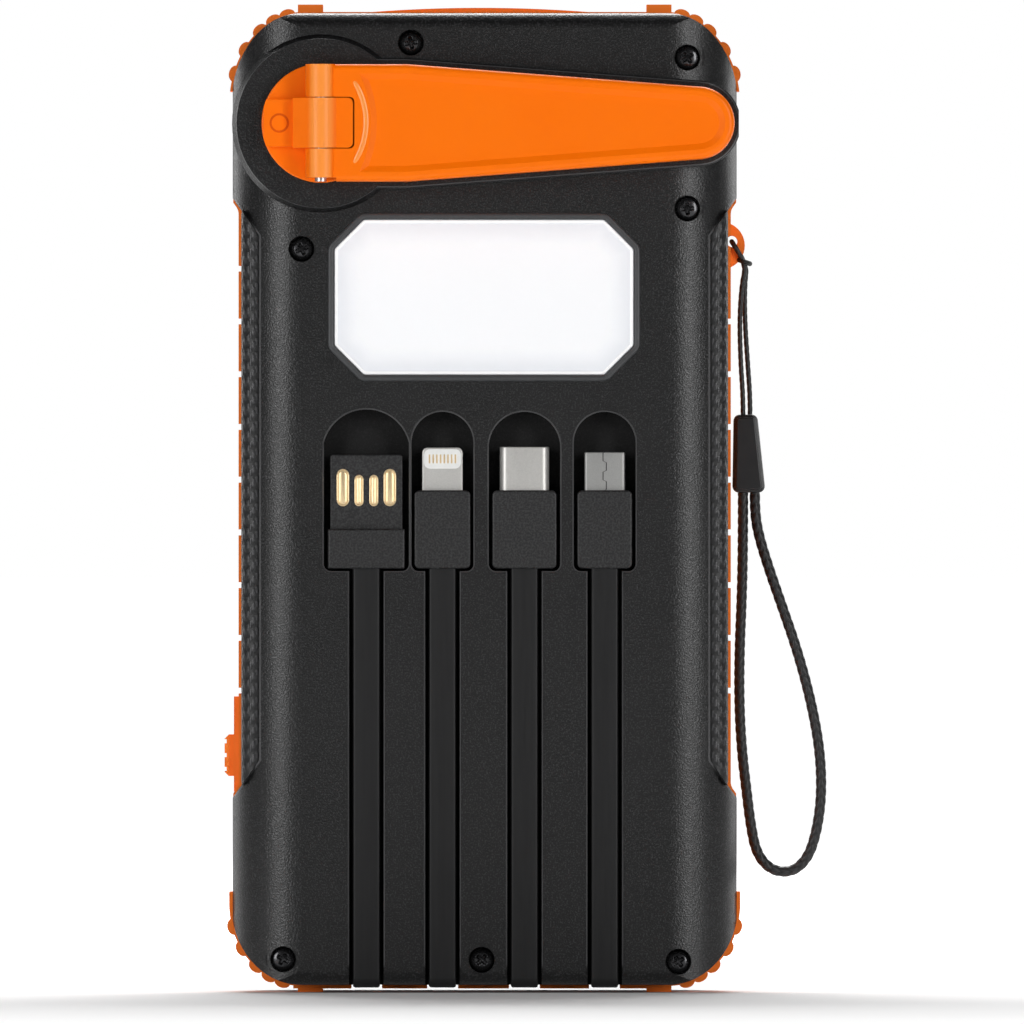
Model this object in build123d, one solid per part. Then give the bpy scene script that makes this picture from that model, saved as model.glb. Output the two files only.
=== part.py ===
"""Hand crank phone charger: a rugged power bank with a folding crank, a lamp and four built-in leads.

Millimetres. The charger stands on its bottom edge: x runs across it, z up it, and the crank,
lamp and leads face -y. Every piece is modelled about the middle plane of the case, and the
last step moves all of them so that the origin is the bottom centre of the whole charger.
"""

from build123d import *
import math
import os

# ---------------------------------------------------------------- driving dimensions

# Case, as seen from the crank side
CASE_HALF_WIDTH = 42.75
CASE_TOP = 164.9
CASE_BOTTOM = 1.35
CASE_DEPTH = 29.0
CORNER_WIDTH = 12.0
CORNER_HEIGHT_TOP = 15.5
CORNER_HEIGHT_BOTTOM = 13.5
SHOULDER_RADIUS = 12.0
END_EDGE_RADIUS = 2.5
WALL = 2.2
FACE_WALL = 2.0

# Waist, where the grips lie in the sides
WAIST_DEPTH = 4.75
WAIST_TOP = 127.5
WAIST_BOTTOM = 39.1
WAIST_RISE = 6.7
WAIST_INNER_RADIUS = 2.5
WAIST_OUTER_RADIUS = 1.4
WAIST_BEND_SHARE = 0.45
GRIP_SINK = 1.75
GRIP_DROP = 2.7
GRIP_EDGE_RADIUS = 2.4

# Bumper band round the edge
BAND_WIDTH = 10.0
BAND_SINK = 1.25
BAND_PROUD = 0.35
NOTCH_WIDTH = 1.0
NOTCH_PITCH = 8.9
NOTCH_LOWEST = 50.8
NOTCH_COUNT = 9
NUB_ANGLES = (20.5, 37.5, 54.0, 66.5, 78.0)
NUB_LENGTH, NUB_DEPTH = 2.7, 1.9
NUB_PROUD = 0.2
END_NUB_INSET = 13.35
END_NUB_LENGTH = 4.2
END_NUB_PROUD = 1.6
STRIP_BOTTOM = 0.6
STRIP_INSET = 10.45
LUG_INSET, LUG_Z = 2.85, 125.9
LUG_RADIUS = 4.0
LUG_THICKNESS = 2.6
EYELET_OFFSET, EYELET_Z = 1.8, 126.6
EYELET_RADIUS = 0.95

# Crank
HUB_INSET, HUB_Z = 15.25, 146.3
PLINTH_HEIGHT = 1.5
PLINTH_RADIUS = 15.0
PLINTH_TAPER = 0.8
TONGUE_MARGIN = 1.1
RUNNING_GAP = 0.3
HUB_RADIUS = 10.0
HUB_EDGE_RADIUS = 0.3
HUB_THICKNESS = 1.4
PIN_RADIUS = 1.0
KNUCKLE_RADIUS = 2.6
KNUCKLE_LOW_END = 9.2
MIDDLE_HALF_LENGTH = 4.35
MIDDLE_CORNER_RADIUS = 0.9
STOP_BLOCK_LEFT = -9.6
STOP_BLOCK_RIGHT = -4.7
STOP_BLOCK_HALF_WIDTH = 3.95
STOP_MARK_X, STOP_MARK_RADIUS = -7.0, 1.45
MIDDLE_RIGHT = 5.4
ARM_ROOT_HALF_WIDTH = 9.85
ARM_ROOT_START = -2.7
ARM_TAPER_START = 14.5
ARM_TIP_X = 63.4
ARM_TIP_RADIUS = 6.1
ARM_RIM_HEIGHT = 5.9
ARM_RIM_WIDTH = 1.6
ARM_RIM_RADIUS = 1.0
ARM_DISH = 0.6
DISH_SLOPE = 1.0
DISH_END_X, DISH_END_RADIUS = 8.4, 18.5
NOTCH_GAP = 0.25
KNOB_PIN_X = 62.7
KNOB_LENGTH = 21.0
KNOB_THICKNESS = 4.0
KNOB_WIDTH = 7.8
KNOB_GAP = 0.35
KNOB_FINGER_ROOM = 4.0
KNOB_PIN_RADIUS = 0.8
RUNNING_CLEARANCE = 0.05
SHAFT_RADIUS = 3.0
STUB_RADIUS = 1.5
BUSH_WALL = 1.5

# Gear train and generator
GEAR_MODULE = 0.5
DRIVE_TEETH, FIRST_PINION_TEETH = 48, 12
WHEEL_TEETH, LAST_PINION_TEETH = 44, 11
WHEEL_ADDENDUM = 0.32
PINION_ADDENDUM = 0.45
TOOTH_THINNING = 0.09
PRESSURE_ANGLE = math.radians(20)
GEAR_THICKNESS = 3.0
FIRST_MESH_ANGLE = -45.0
SECOND_MESH_ANGLE = -20.0
AXLE_RADIUS = 1.0
GEAR_PLATE_THICKNESS = 1.5
PLATE_POST_RADIUS = 2.0
PLATE_POST_OFFSETS = ((-2.2, -15.8), (15.5, 4.2), (33.0, -9.3))
PLATE_PAD = 1.2
HUB_PAD_RADIUS = 4.5
GENERATOR_RADIUS = 12.0
GENERATOR_LENGTH = 12.0
MAGNET_RADIUS = 6.5
STATOR_THICKNESS = 3.4

# Lamp
LAMP_LEFT, LAMP_RIGHT = -26.4, 26.2
LAMP_BOTTOM, LAMP_TOP = 102.9, 131.25
LAMP_CHAMFER = 5.6
LAMP_CORNER_RADIUS = 1.6
BEZEL_WIDTH = 1.1
BEZEL_PROUD = 0.4
BEZEL_DEPTH = 3.6
DIFFUSER_THICKNESS = 1.3
DIFFUSER_DROP = 0.35
LAMP_BOARD_THICKNESS = 1.2
LAMP_BOARD_GAP = 0.5

# Screws
SCREW_BY_PLATE_OFFSET = (-3.3, -21.1)
TOP_SCREW_X, TOP_SCREW_DROP = -12.4, 5.0
RIGHT_SCREW_INSET, RIGHT_SCREW_DROP, RIGHT_SCREW_Z = 8.65, 7.5, 132.0
BOTTOM_SCREW_INSETS = (8.85, 10.15)
BOTTOM_SCREW_X = -0.5
BOTTOM_SCREW_RISES = (4.35, 4.25, 3.95)
COUNTERBORE_RADIUS = 2.2
COUNTERBORE_DEPTH = 3.0
SCREW_HEAD_RADIUS = 2.0
SCREW_HEAD_HEIGHT = 1.5
SCREW_RADIUS = 1.15
SCREW_LENGTH = 17.0
POST_RADIUS = 3.0
POST_GAP = 0.15

# Built-in leads and their pockets
POCKET_BOTTOM = 71.0
POCKET_DEPTH = 4.9
POCKET_CORNER_RADIUS = 1.2
ARCH_RISE = 5.6
EDGE_BEVEL = 0.3
CHANNEL_DEPTH = 4.2
CHANNEL_WIDTH = 5.8
CABLE_WIDTH = 4.6
CABLE_THICKNESS = 3.4
CABLE_END_Z = 0.9
GRIP_THICKNESS = 4.4
LEAD_GAP = 0.4
TRAY_WALL = 1.0
CONTACTS = ((-3.95, 2.1, 6.3), (-1.25, 1.5, 5.3), (1.25, 1.5, 5.3), (3.95, 2.1, 6.3))
CONTACT_BOTTOM = 81.9
CONTACT_THICKNESS = 0.15

# Solar side
SOLAR_INSET = 8.75
SOLAR_BOTTOM, SOLAR_TOP = 20.0, 150.0
SOLAR_THICKNESS = 1.3
LIGHT_COUNT = 5
LIGHT_PITCH = 5.0
LIGHT_RADIUS = 1.0
LIGHT_Z = 156.5

# Cells, board and ports
CELL_SIDE_GAP = 2.3
CELL_BOTTOM, CELL_TOP = 12.0, 100.0
CELL_THICKNESS = 9.8
FIT_GAP = 0.3
BOARD_THICKNESS = 1.6
BOARD_LEFT, BOARD_RIGHT_GAP = -8.0, 8.0
BOARD_NECK_OFFSET = 38.5
BOARD_BOTTOM, BOARD_SHOULDER, BOARD_TOP = 104.0, 146.0, 162.0
BOARD_POSTS = ((20.0, 110.0), (20.0, 151.0))
COIL_PLACE, COIL_RADIUS = (22.0, 136.0), 3.5
CHIP_LEFT, CHIP_RIGHT = 14.0, 20.0
CHIP_BOTTOMS = (112.0, 122.0)
PORT_A_X, PORT_A_WIDTH, PORT_A_HEIGHT, PORT_A_DEPTH = 0.5, 13.1, 5.8, 12.0
PORT_C_X, PORT_C_WIDTH, PORT_C_HEIGHT, PORT_C_DEPTH = 14.0, 9.0, 3.2, 7.5
FLAP_LEFT, FLAP_RIGHT = -20.0, 21.3
FLAP_WIDTH = 7.6
FLAP_THICKNESS = 1.3
FLAP_BULGE = 0.7

# Power button
BUTTON_Z, BUTTON_HEIGHT = 39.9, 7.0
BUTTON_WIDTH = 5.0
BUTTON_PROUD = 1.6
BUTTON_TRAVEL = 0.7
BUTTON_PAD_PROUD = 0.8
BUTTON_PAD_BOTTOM, BUTTON_PAD_TOP = 33.8, 49.8
RIB_COUNT = 3
SWITCH_BOARD_GAP, SWITCH_BOARD_THICKNESS = 0.4, 1.0
SWITCH_BOARD_MARGINS = (4.5, 2.0)
SWITCH_DEPTH, SWITCH_SIZE = 2.0, 5.0
PLUNGER_LENGTH, PLUNGER_RADIUS, PLUNGER_GAP = 2.7, 1.2, 0.1

# Wrist strap: thin hitch cord, crimp sleeve and braided loop
STRAP_CORD_DIAMETER = 0.85
STRAP_LOOP_DIAMETER = 1.8
SLEEVE_TOP, SLEEVE_BOTTOM = 97.4, 84.2
SLEEVE_TOP_X = (42.0, 46.5)
SLEEVE_BOTTOM_X = (42.0, 47.2)
SLEEVE_THICKNESS = 3.4
HITCH_ROUTE = [
    (43.6, -0.7, SLEEVE_TOP), (43.6, -0.7, 100.5), (43.2, -0.8, 106.0), (43.0, -0.9, 113.5),
    (43.4, -0.9, 119.4), (44.1, -1.3, 122.6), (41.7, -3.0, 126.6),
    (41.7, 3.0, 126.6), (44.3, 1.3, 122.6), (43.9, 0.9, 119.4),
    (43.9, 0.8, 113.5), (44.4, 0.8, 106.0), (44.8, 0.7, 100.5), (44.8, 0.7, SLEEVE_TOP),
]
LOOP_ROUTE = [
    (43.6, 0.0, SLEEVE_BOTTOM), (43.6, 0.0, 75.5), (43.4, -0.3, 66.5), (43.0, -0.7, 57.5),
    (42.95, -1.0, 48.5), (43.4, -1.0, 40.5), (44.2, -0.7, 33.8), (44.9, -0.2, 28.0),
    (45.9, 0.1, 23.2), (48.4, 0.4, 20.4), (51.9, 0.6, 20.1), (54.6, 0.6, 22.5),
    (56.1, 0.5, 27.2), (56.9, 0.4, 33.4), (56.6, 0.6, 40.8),
    (55.1, 0.8, 49.0), (52.8, 0.8, 57.5), (50.1, 0.6, 65.3), (47.8, 0.3, 71.9),
    (46.2, 0.1, 77.2), (45.6, 0.0, 81.0), (45.6, 0.0, SLEEVE_BOTTOM),
]

# ---------------------------------------------------------------- places that follow

FRONT = -CASE_DEPTH / 2
BACK = CASE_DEPTH / 2
BAND_HALF = BAND_WIDTH / 2
WAIST_HALF_WIDTH = CASE_HALF_WIDTH - WAIST_DEPTH
WAIST_SLOPE = WAIST_RISE / WAIST_DEPTH
GRIP_REACH = CASE_HALF_WIDTH - GRIP_SINK
BAND_REACH = CASE_HALF_WIDTH - BAND_SINK
END_NUB_X = CASE_HALF_WIDTH - END_NUB_INSET
STRIP_END = CASE_HALF_WIDTH - STRIP_INSET
LUG_X = CASE_HALF_WIDTH - LUG_INSET
EYELET_X = LUG_X + EYELET_OFFSET
HUB_X = HUB_INSET - CASE_HALF_WIDTH
SCREW_BY_PLATE = (HUB_X + SCREW_BY_PLATE_OFFSET[0], HUB_Z + SCREW_BY_PLATE_OFFSET[1])
SCREW_PLACES = (
    (TOP_SCREW_X, CASE_TOP - TOP_SCREW_DROP),
    (CASE_HALF_WIDTH - RIGHT_SCREW_INSET, CASE_TOP - RIGHT_SCREW_DROP),
    (CASE_HALF_WIDTH - RIGHT_SCREW_INSET, RIGHT_SCREW_Z),
    SCREW_BY_PLATE,
    (BOTTOM_SCREW_INSETS[0] - CASE_HALF_WIDTH, CASE_BOTTOM + BOTTOM_SCREW_RISES[0]),
    (BOTTOM_SCREW_X, CASE_BOTTOM + BOTTOM_SCREW_RISES[1]),
    (CASE_HALF_WIDTH - BOTTOM_SCREW_INSETS[1], CASE_BOTTOM + BOTTOM_SCREW_RISES[2]),
)
SOLAR_HALF_WIDTH = CASE_HALF_WIDTH - SOLAR_INSET
CELL_HALF_WIDTH = WAIST_HALF_WIDTH - WALL - CELL_SIDE_GAP
CAVITY_FRONT = FRONT + FACE_WALL
CAVITY_BACK = BACK - SOLAR_THICKNESS - 1.2
PLINTH_TOP = FRONT - PLINTH_HEIGHT
PLINTH_ROOT = -BAND_HALF - 3.0
HUB_BOTTOM = PLINTH_TOP - RUNNING_GAP
HUB_TOP = HUB_BOTTOM - HUB_THICKNESS
PIN_Y = HUB_TOP - RUNNING_GAP - KNUCKLE_RADIUS - 0.2
ARM_BOTTOM = PLINTH_TOP - RUNNING_GAP - 0.1
ARM_TOP = ARM_BOTTOM - ARM_RIM_HEIGHT
STOP_TOP = 2 * PIN_Y - ARM_TOP + RUNNING_GAP
KNOB_Y = ARM_BOTTOM - KNOB_THICKNESS / 2 - 0.2
NOTCH_EDGE = MIDDLE_RIGHT + NOTCH_GAP
ARM_REACH = PIN_Y - KNUCKLE_RADIUS

POST_START = FRONT + COUNTERBORE_DEPTH + 2.0
DRIVE_FRONT = CAVITY_FRONT + 0.5
DRIVE_TIP = GEAR_MODULE * DRIVE_TEETH / 2 + WHEEL_ADDENDUM
WHEEL_FRONT = DRIVE_FRONT + GEAR_THICKNESS + 0.6
PLATE_FRONT = WHEEL_FRONT + GEAR_THICKNESS + 2.0
PLATE_BACK = PLATE_FRONT + GEAR_PLATE_THICKNESS
FIRST_DISTANCE = GEAR_MODULE * (DRIVE_TEETH + FIRST_PINION_TEETH) / 2
SECOND_DISTANCE = GEAR_MODULE * (WHEEL_TEETH + LAST_PINION_TEETH) / 2
LAY_X = HUB_X + FIRST_DISTANCE * math.cos(math.radians(FIRST_MESH_ANGLE))
LAY_Z = HUB_Z + FIRST_DISTANCE * math.sin(math.radians(FIRST_MESH_ANGLE))
GEN_X = LAY_X + SECOND_DISTANCE * math.cos(math.radians(SECOND_MESH_ANGLE))
GEN_Z = LAY_Z + SECOND_DISTANCE * math.sin(math.radians(SECOND_MESH_ANGLE))
PLATE_POSTS = [(HUB_X + x, HUB_Z + z) for x, z in PLATE_POST_OFFSETS]
BOARD_RIGHT = WAIST_HALF_WIDTH - BOARD_RIGHT_GAP
BOARD_NECK = HUB_X + BOARD_NECK_OFFSET

TIP_Y = FRONT + 0.2 + GRIP_THICKNESS / 2
CABLE_Y = FRONT + 0.4 + CABLE_THICKNESS / 2
HINGE_Z = CABLE_END_Z + CABLE_THICKNESS / 2
TRAY_BACK = FRONT + POCKET_DEPTH + TRAY_WALL

FLAP_FLOOR = CASE_TOP + BAND_PROUD - FLAP_THICKNESS
FLAP_PIVOT_X = FLAP_LEFT + FLAP_THICKNESS / 2
FLAP_PIVOT_Z = FLAP_FLOOR + FLAP_THICKNESS / 2
BUTTON_PAD_REACH = BAND_REACH + BUTTON_PAD_PROUD
BUTTON_REACH = BUTTON_PAD_REACH + BUTTON_PROUD
SWITCH_FACE = CELL_HALF_WIDTH + SWITCH_BOARD_GAP + SWITCH_BOARD_THICKNESS + SWITCH_DEPTH
BUTTON_INNER = SWITCH_FACE + PLUNGER_LENGTH + BUTTON_TRAVEL + PLUNGER_GAP

# How far every piece moves in y, so that the origin is the middle of the charger's depth
FRAME_SHIFT = -(ARM_REACH + BACK) / 2

# Each lead: its place across the case, then widths and tops of its grip, tip and pocket
LEADS = {
    "lead_1": {
        "x": -19.9, "grip": 13.0, "grip_top": 78.1, "tip": 12.2, "thick": 2.2, "tip_top": 90.6,
        "pocket": 14.3, "arch": 98.2,
    },
    "lead_2": {
        "x": -7.1, "grip": 9.5, "grip_top": 84.6, "tip": 6.85, "thick": 1.6, "tip_top": 91.8,
        "pocket": 10.4, "arch": 97.8,
    },
    "lead_3": {
        "x": 6.7, "grip": 10.9, "grip_top": 84.6, "tip": 8.3, "thick": 2.5, "tip_top": 91.9,
        "pocket": 12.0, "arch": 97.8,
    },
    "lead_4": {
        "x": 20.2, "grip": 9.3, "grip_top": 84.6, "tip": 6.85, "thick": 1.8, "tip_top": 91.0,
        "pocket": 10.4, "arch": 97.8,
    },
}

# ---------------------------------------------------------------- small helpers


def slab(face, y_from, y_to):
    """Extrudes a face drawn in x and z from one depth to another."""
    low, high = min(y_from, y_to), max(y_from, y_to)
    return extrude(Pos(0, high, 0) * (Plane.XZ * face), amount=high - low)


def block(x_from, x_to, y_from, y_to, z_from, z_to):
    """A box between two corners."""
    size = (x_to - x_from, y_to - y_from, z_to - z_from)
    centre = ((x_from + x_to) / 2, (y_from + y_to) / 2, (z_from + z_to) / 2)
    return Pos(*centre) * Box(*size)


def rod(x, z, radius, y_from, y_to):
    """A cylinder along y."""
    return slab(Pos(x, z) * Circle(radius), y_from, y_to)


def column(x, y, radius, z_from, z_to):
    """A cylinder along z."""
    return Pos(x, y, (z_from + z_to) / 2) * Cylinder(radius, z_to - z_from)


def shaft_x(y, z, radius, x_from, x_to):
    """A cylinder along x."""
    return Pos((x_from + x_to) / 2, y, z) * Rot(0, 90, 0) * Cylinder(radius, x_to - x_from)


def waist_z(x, grow, top=True):
    """Height of the sloping end of the waist at a half width x, offset outwards by grow."""
    lean = grow * math.hypot(1, WAIST_SLOPE)
    rise = WAIST_SLOPE * (x - WAIST_HALF_WIDTH) - lean
    return WAIST_TOP + rise if top else WAIST_BOTTOM - rise


def at_place(corner, x, heights):
    """Whether a corner of a flat outline lies at x and at one of the heights."""
    return abs(corner.X - x) < 0.01 and any(abs(corner.Y - height) < 0.01 for height in heights)


def case_face(grow=0.0, waist=WAIST_HALF_WIDTH):
    """Outline of the case, offset outwards by grow, with its waist at a half width."""
    side, top, bottom = CASE_HALF_WIDTH + grow, CASE_TOP + grow, CASE_BOTTOM - grow
    inner = CASE_HALF_WIDTH - CORNER_WIDTH
    upper, lower = CASE_TOP - CORNER_HEIGHT_TOP, CASE_BOTTOM + CORNER_HEIGHT_BOTTOM
    radii = (CORNER_WIDTH + grow, CORNER_HEIGHT_TOP + grow, CORNER_HEIGHT_BOTTOM + grow)
    edges = [
        Line((0, top), (inner, top)),
        EllipticalCenterArc((inner, upper), radii[0], radii[1], 0, arc_size=90),
        Polyline(
            (side, upper), (side, waist_z(side, grow)), (waist, waist_z(waist, grow)),
            (waist, waist_z(waist, grow, False)), (side, waist_z(side, grow, False)), (side, lower),
        ),
        EllipticalCenterArc((inner, lower), radii[0], radii[2], 270, arc_size=90),
        Line((inner, bottom), (0, bottom)),
        Line((0, bottom), (0, top)),
    ]
    half = make_face(edges)
    slope = (side - waist) * math.hypot(1, WAIST_SLOPE)
    roundest = WAIST_BEND_SHARE * slope / math.tan(math.atan(1 / WAIST_SLOPE) / 2)
    ends = (waist_z(waist, grow), waist_z(waist, grow, False))
    inner_corners = [corner for corner in half.vertices() if at_place(corner, waist, ends)]
    half = fillet(inner_corners, min(WAIST_INNER_RADIUS - grow, roundest))
    ends = (waist_z(side, grow), waist_z(side, grow, False))
    outer_corners = [corner for corner in half.vertices() if at_place(corner, side, ends)]
    half = fillet(outer_corners, min(max(WAIST_OUTER_RADIUS + grow, 0.2), roundest))
    return half + mirror(half, Plane.YZ)


def lamp_face(inset):
    """Rectangle with cut, softened corners, inset from the lamp's outer edge."""
    width, height = LAMP_RIGHT - LAMP_LEFT - 2 * inset, LAMP_TOP - LAMP_BOTTOM - 2 * inset
    cut = LAMP_CHAMFER - inset * (2 - math.sqrt(2))
    face = chamfer(Rectangle(width, height).vertices(), cut)
    face = fillet(face.vertices(), LAMP_CORNER_RADIUS - inset / 2)
    return Pos((LAMP_LEFT + LAMP_RIGHT) / 2, (LAMP_BOTTOM + LAMP_TOP) / 2) * face


def arm_face(grow=0.0, start=ARM_ROOT_START):
    """Outline of the crank arm: parallel at the hub, tapering to a round tip."""
    root, tip = ARM_ROOT_HALF_WIDTH + grow, ARM_TIP_RADIUS + grow
    run = ARM_TIP_X - ARM_TAPER_START
    lean = math.atan2(root, run) - math.asin(tip / math.hypot(run, root))
    touch = (ARM_TIP_X + tip * math.sin(lean), tip * math.cos(lean))
    edges = [
        Polyline((touch[0], touch[1]), (ARM_TAPER_START, root), (start, root), (start, -root),
                 (ARM_TAPER_START, -root), (touch[0], -touch[1])),
        ThreePointArc((touch[0], -touch[1]), (ARM_TIP_X + tip, 0), touch),
    ]
    return Pos(HUB_X, HUB_Z) * make_face(edges)


def gear_face(teeth, addendum, turn):
    """Spur gear outline with involute flanks; turn points one tooth's middle, in degrees."""
    pitch = GEAR_MODULE * teeth / 2
    base, tip, root = pitch * math.cos(PRESSURE_ANGLE), pitch + addendum, pitch - 1.25 * GEAR_MODULE
    half_pitch = (math.pi * GEAR_MODULE / 2 - TOOTH_THINNING) / (2 * pitch)

    def involute(radius):
        angle = math.acos(min(1.0, base / radius))
        return math.tan(angle) - angle

    start = max(base, root)
    flank = [start + (tip - start) * step / 4 for step in range(5)]
    sweep = [(radius, half_pitch + involute(pitch) - involute(radius)) for radius in flank]
    if root < base:
        sweep.insert(0, (root, sweep[0][1]))
    side = [(radius, -angle) for radius, angle in sweep] + sweep[::-1]
    points = []
    for tooth in range(teeth):
        middle = math.radians(turn) + 2 * math.pi * tooth / teeth
        points += [(r * math.cos(middle + a), r * math.sin(middle + a)) for r, a in side]
    return make_face(Polyline(*points, close=True))


def cord_tube(name, route, diameter):
    """Round tube along straight runs joined by arcs as large as the runs allow."""
    points = [Vector(*place) for place in route]
    radii = []
    for before, corner, after in zip(points, points[1:], points[2:]):
        turn = math.radians((corner - before).get_angle(after - corner))
        shorter = min((corner - before).length, (after - corner).length)
        radii.append(0.45 * shorter / math.tan(turn / 2))
    path = FilletPolyline(*points, radius=radii)
    print(name, "bend radii", [round(radius, 1) for radius in radii])
    tube = sweep(Plane(path @ 0, z_dir=path % 0) * Circle(diameter / 2), path)
    print(name, "length", round(path.length, 1))
    return tube


# ---------------------------------------------------------------- case


def case_block():
    """The case's whole outside, before it is split into two covers."""
    shoulders = extrude(RectangleRounded(2 * CASE_HALF_WIDTH, CASE_DEPTH, SHOULDER_RADIUS), CASE_TOP + 1)
    ends = Plane.YZ * RectangleRounded(CASE_DEPTH, CASE_TOP - CASE_BOTTOM, END_EDGE_RADIUS)
    height = (CASE_TOP + CASE_BOTTOM) / 2
    bar = Pos(-CASE_HALF_WIDTH, 0, height) * extrude(ends, 2 * CASE_HALF_WIDTH)
    return slab(case_face(), FRONT, BACK) & shoulders & bar


def cavity():
    """The space inside both covers."""
    depth = CAVITY_BACK - CAVITY_FRONT
    bar = RectangleRounded(2 * (CASE_HALF_WIDTH - WALL), depth, SHOULDER_RADIUS - WALL)
    rounded = Pos(0, (CAVITY_BACK + CAVITY_FRONT) / 2, 0) * extrude(bar, CASE_TOP)
    return slab(case_face(-WALL, WAIST_HALF_WIDTH - WALL), CAVITY_FRONT, CAVITY_BACK) & rounded


def plinth():
    """Raised disc under the hub with a tapered tongue under the arm."""
    base = rod(HUB_X, HUB_Z, PLINTH_RADIUS, FRONT, PLINTH_ROOT)
    top = Plane.XZ * (Pos(HUB_X, HUB_Z) * Circle(PLINTH_RADIUS))
    taper = math.degrees(math.atan2(PLINTH_TAPER, PLINTH_HEIGHT))
    cone = extrude(Pos(0, FRONT, 0) * top, amount=PLINTH_HEIGHT, taper=taper)
    tongue = slab(arm_face(TONGUE_MARGIN), PLINTH_TOP, PLINTH_ROOT)
    tongue = chamfer(tongue.faces().sort_by(Axis.Y)[0].edges(), 0.4)
    return (base + cone + tongue) & slab(case_face(), PLINTH_TOP, PLINTH_ROOT)


def pocket_face(lead):
    """Outline of a plug's pocket, with an arch over the plug for a finger."""
    half, radius = lead["pocket"] / 2, POCKET_CORNER_RADIUS
    spring = lead["arch"] - min(half, ARCH_RISE)
    outline = [
        Line((-half, spring), (-half, POCKET_BOTTOM + radius)),
        JernArc((-half, POCKET_BOTTOM + radius), (0, -1), radius, 90),
        Line((radius - half, POCKET_BOTTOM), (half - radius, POCKET_BOTTOM)),
        JernArc((half - radius, POCKET_BOTTOM), (1, 0), radius, 90),
        Line((half, POCKET_BOTTOM + radius), (half, spring)),
        ThreePointArc((half, spring), (0, lead["arch"]), (-half, spring)),
    ]
    return Pos(lead["x"], 0) * make_face(outline)


def lead_recess(lead):
    """What is cut away for a lead: its pocket and channel, with a bevel where they meet the face."""
    low = CASE_BOTTOM - 2
    high = POCKET_BOTTOM + 1
    channel = Pos(lead["x"], (high + low) / 2) * Rectangle(CHANNEL_WIDTH, high - low)
    deep = slab(pocket_face(lead), FRONT - 1, FRONT + POCKET_DEPTH)
    narrow = slab(channel, FRONT - 1, FRONT + CHANNEL_DEPTH)
    mouth = pocket_face(lead) + channel
    bevel = extrude(Pos(0, FRONT + EDGE_BEVEL, 0) * (Plane.XZ * mouth), amount=2 * EDGE_BEVEL, taper=-45)
    return deep.fuse(narrow, bevel)


def make_crank_cover(block_outside, inside):
    """Cover on the crank side, with plinth, lamp window, pockets, channels and screw bosses."""
    half = block(-60, 60, FRONT, -BAND_HALF, 0, CASE_TOP)
    posts = [rod(x, z, POST_RADIUS, CAVITY_FRONT - 0.5, POST_START) for x, z in SCREW_PLACES]
    outer = [lead["x"] + side * lead["pocket"] / 2 for lead in LEADS.values() for side in (-1, 1)]
    tray = block(min(outer) - 1.2, max(outer) + 1.2, CAVITY_FRONT - 0.5, TRAY_BACK,
                 CASE_BOTTOM + WALL - 0.2, LEADS["lead_1"]["arch"] + 1.0)
    cover = (block_outside & half) + plinth() - inside
    cover = cover.fuse(*posts, tray)
    cuts = [lead_recess(lead) for lead in LEADS.values()]
    cuts += [rod(x, z, COUNTERBORE_RADIUS, FRONT - 3, FRONT + COUNTERBORE_DEPTH) for x, z in SCREW_PLACES]
    cuts += [rod(x, z, SCREW_RADIUS + 0.1, FRONT - 3, 0) for x, z in SCREW_PLACES]
    cuts += [rod(x, z, POST_RADIUS + POST_GAP, POST_START, 0) for x, z in SCREW_PLACES]
    cuts.append(rod(HUB_X, HUB_Z, DRIVE_TIP + 0.6, CAVITY_FRONT, 0))
    cuts.append(slab(lamp_face(0), FRONT - 1, CAVITY_FRONT + 1))
    cuts.append(rod(HUB_X, HUB_Z, SHAFT_RADIUS + BUSH_WALL, PLINTH_TOP - 1, CAVITY_FRONT + 1))
    return cover.cut(*cuts)


def make_panel_cover(block_outside, inside):
    """Cover on the solar side, with the panel's recess, light holes and screw posts."""
    half = block(-60, 60, BAND_HALF, BACK, 0, CASE_TOP)
    cover = (block_outside & half) - inside
    posts = [rod(x, z, POST_RADIUS, POST_START, CAVITY_BACK + 0.5) for x, z in SCREW_PLACES]
    board_posts = [
        rod(x, z, PLATE_POST_RADIUS, PORT_A_HEIGHT / 2 + BOARD_THICKNESS, CAVITY_BACK + 0.5)
        for x, z in BOARD_POSTS
    ]
    cover = cover.fuse(*posts, *board_posts)
    recess = BACK - SOLAR_THICKNESS
    cuts = [block(-SOLAR_HALF_WIDTH, SOLAR_HALF_WIDTH, recess, BACK + 1, SOLAR_BOTTOM, SOLAR_TOP)]
    pilot = SCREW_RADIUS + 0.05
    cuts += [rod(x, z, pilot, POST_START - 1, POST_START + SCREW_LENGTH) for x, z in SCREW_PLACES]
    cuts += [rod(x, LIGHT_Z, LIGHT_RADIUS, CAVITY_BACK - 1, BACK + 1) for x in light_places()]
    return cover.cut(*cuts)


def light_places():
    """Places across the case of the charge lights."""
    return [LIGHT_PITCH * (index - (LIGHT_COUNT - 1) / 2) for index in range(LIGHT_COUNT)]


def nub_places(top):
    """Places and slopes of the corner nubs on the right-hand side, along the corner's ellipse."""
    height = CORNER_HEIGHT_TOP if top else CORNER_HEIGHT_BOTTOM
    centre = CASE_TOP - height if top else CASE_BOTTOM + height
    sign = 1 if top else -1
    places = []
    for degrees in NUB_ANGLES:
        angle = math.radians(degrees if top else degrees - 4)
        x = CASE_HALF_WIDTH - CORNER_WIDTH + (CORNER_WIDTH + NUB_PROUD) * math.cos(angle)
        z = centre + sign * (height + NUB_PROUD) * math.sin(angle)
        slope = math.degrees(math.atan2(sign * height * math.cos(angle), -CORNER_WIDTH * math.sin(angle)))
        places.append((x, z, slope))
    return places


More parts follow.
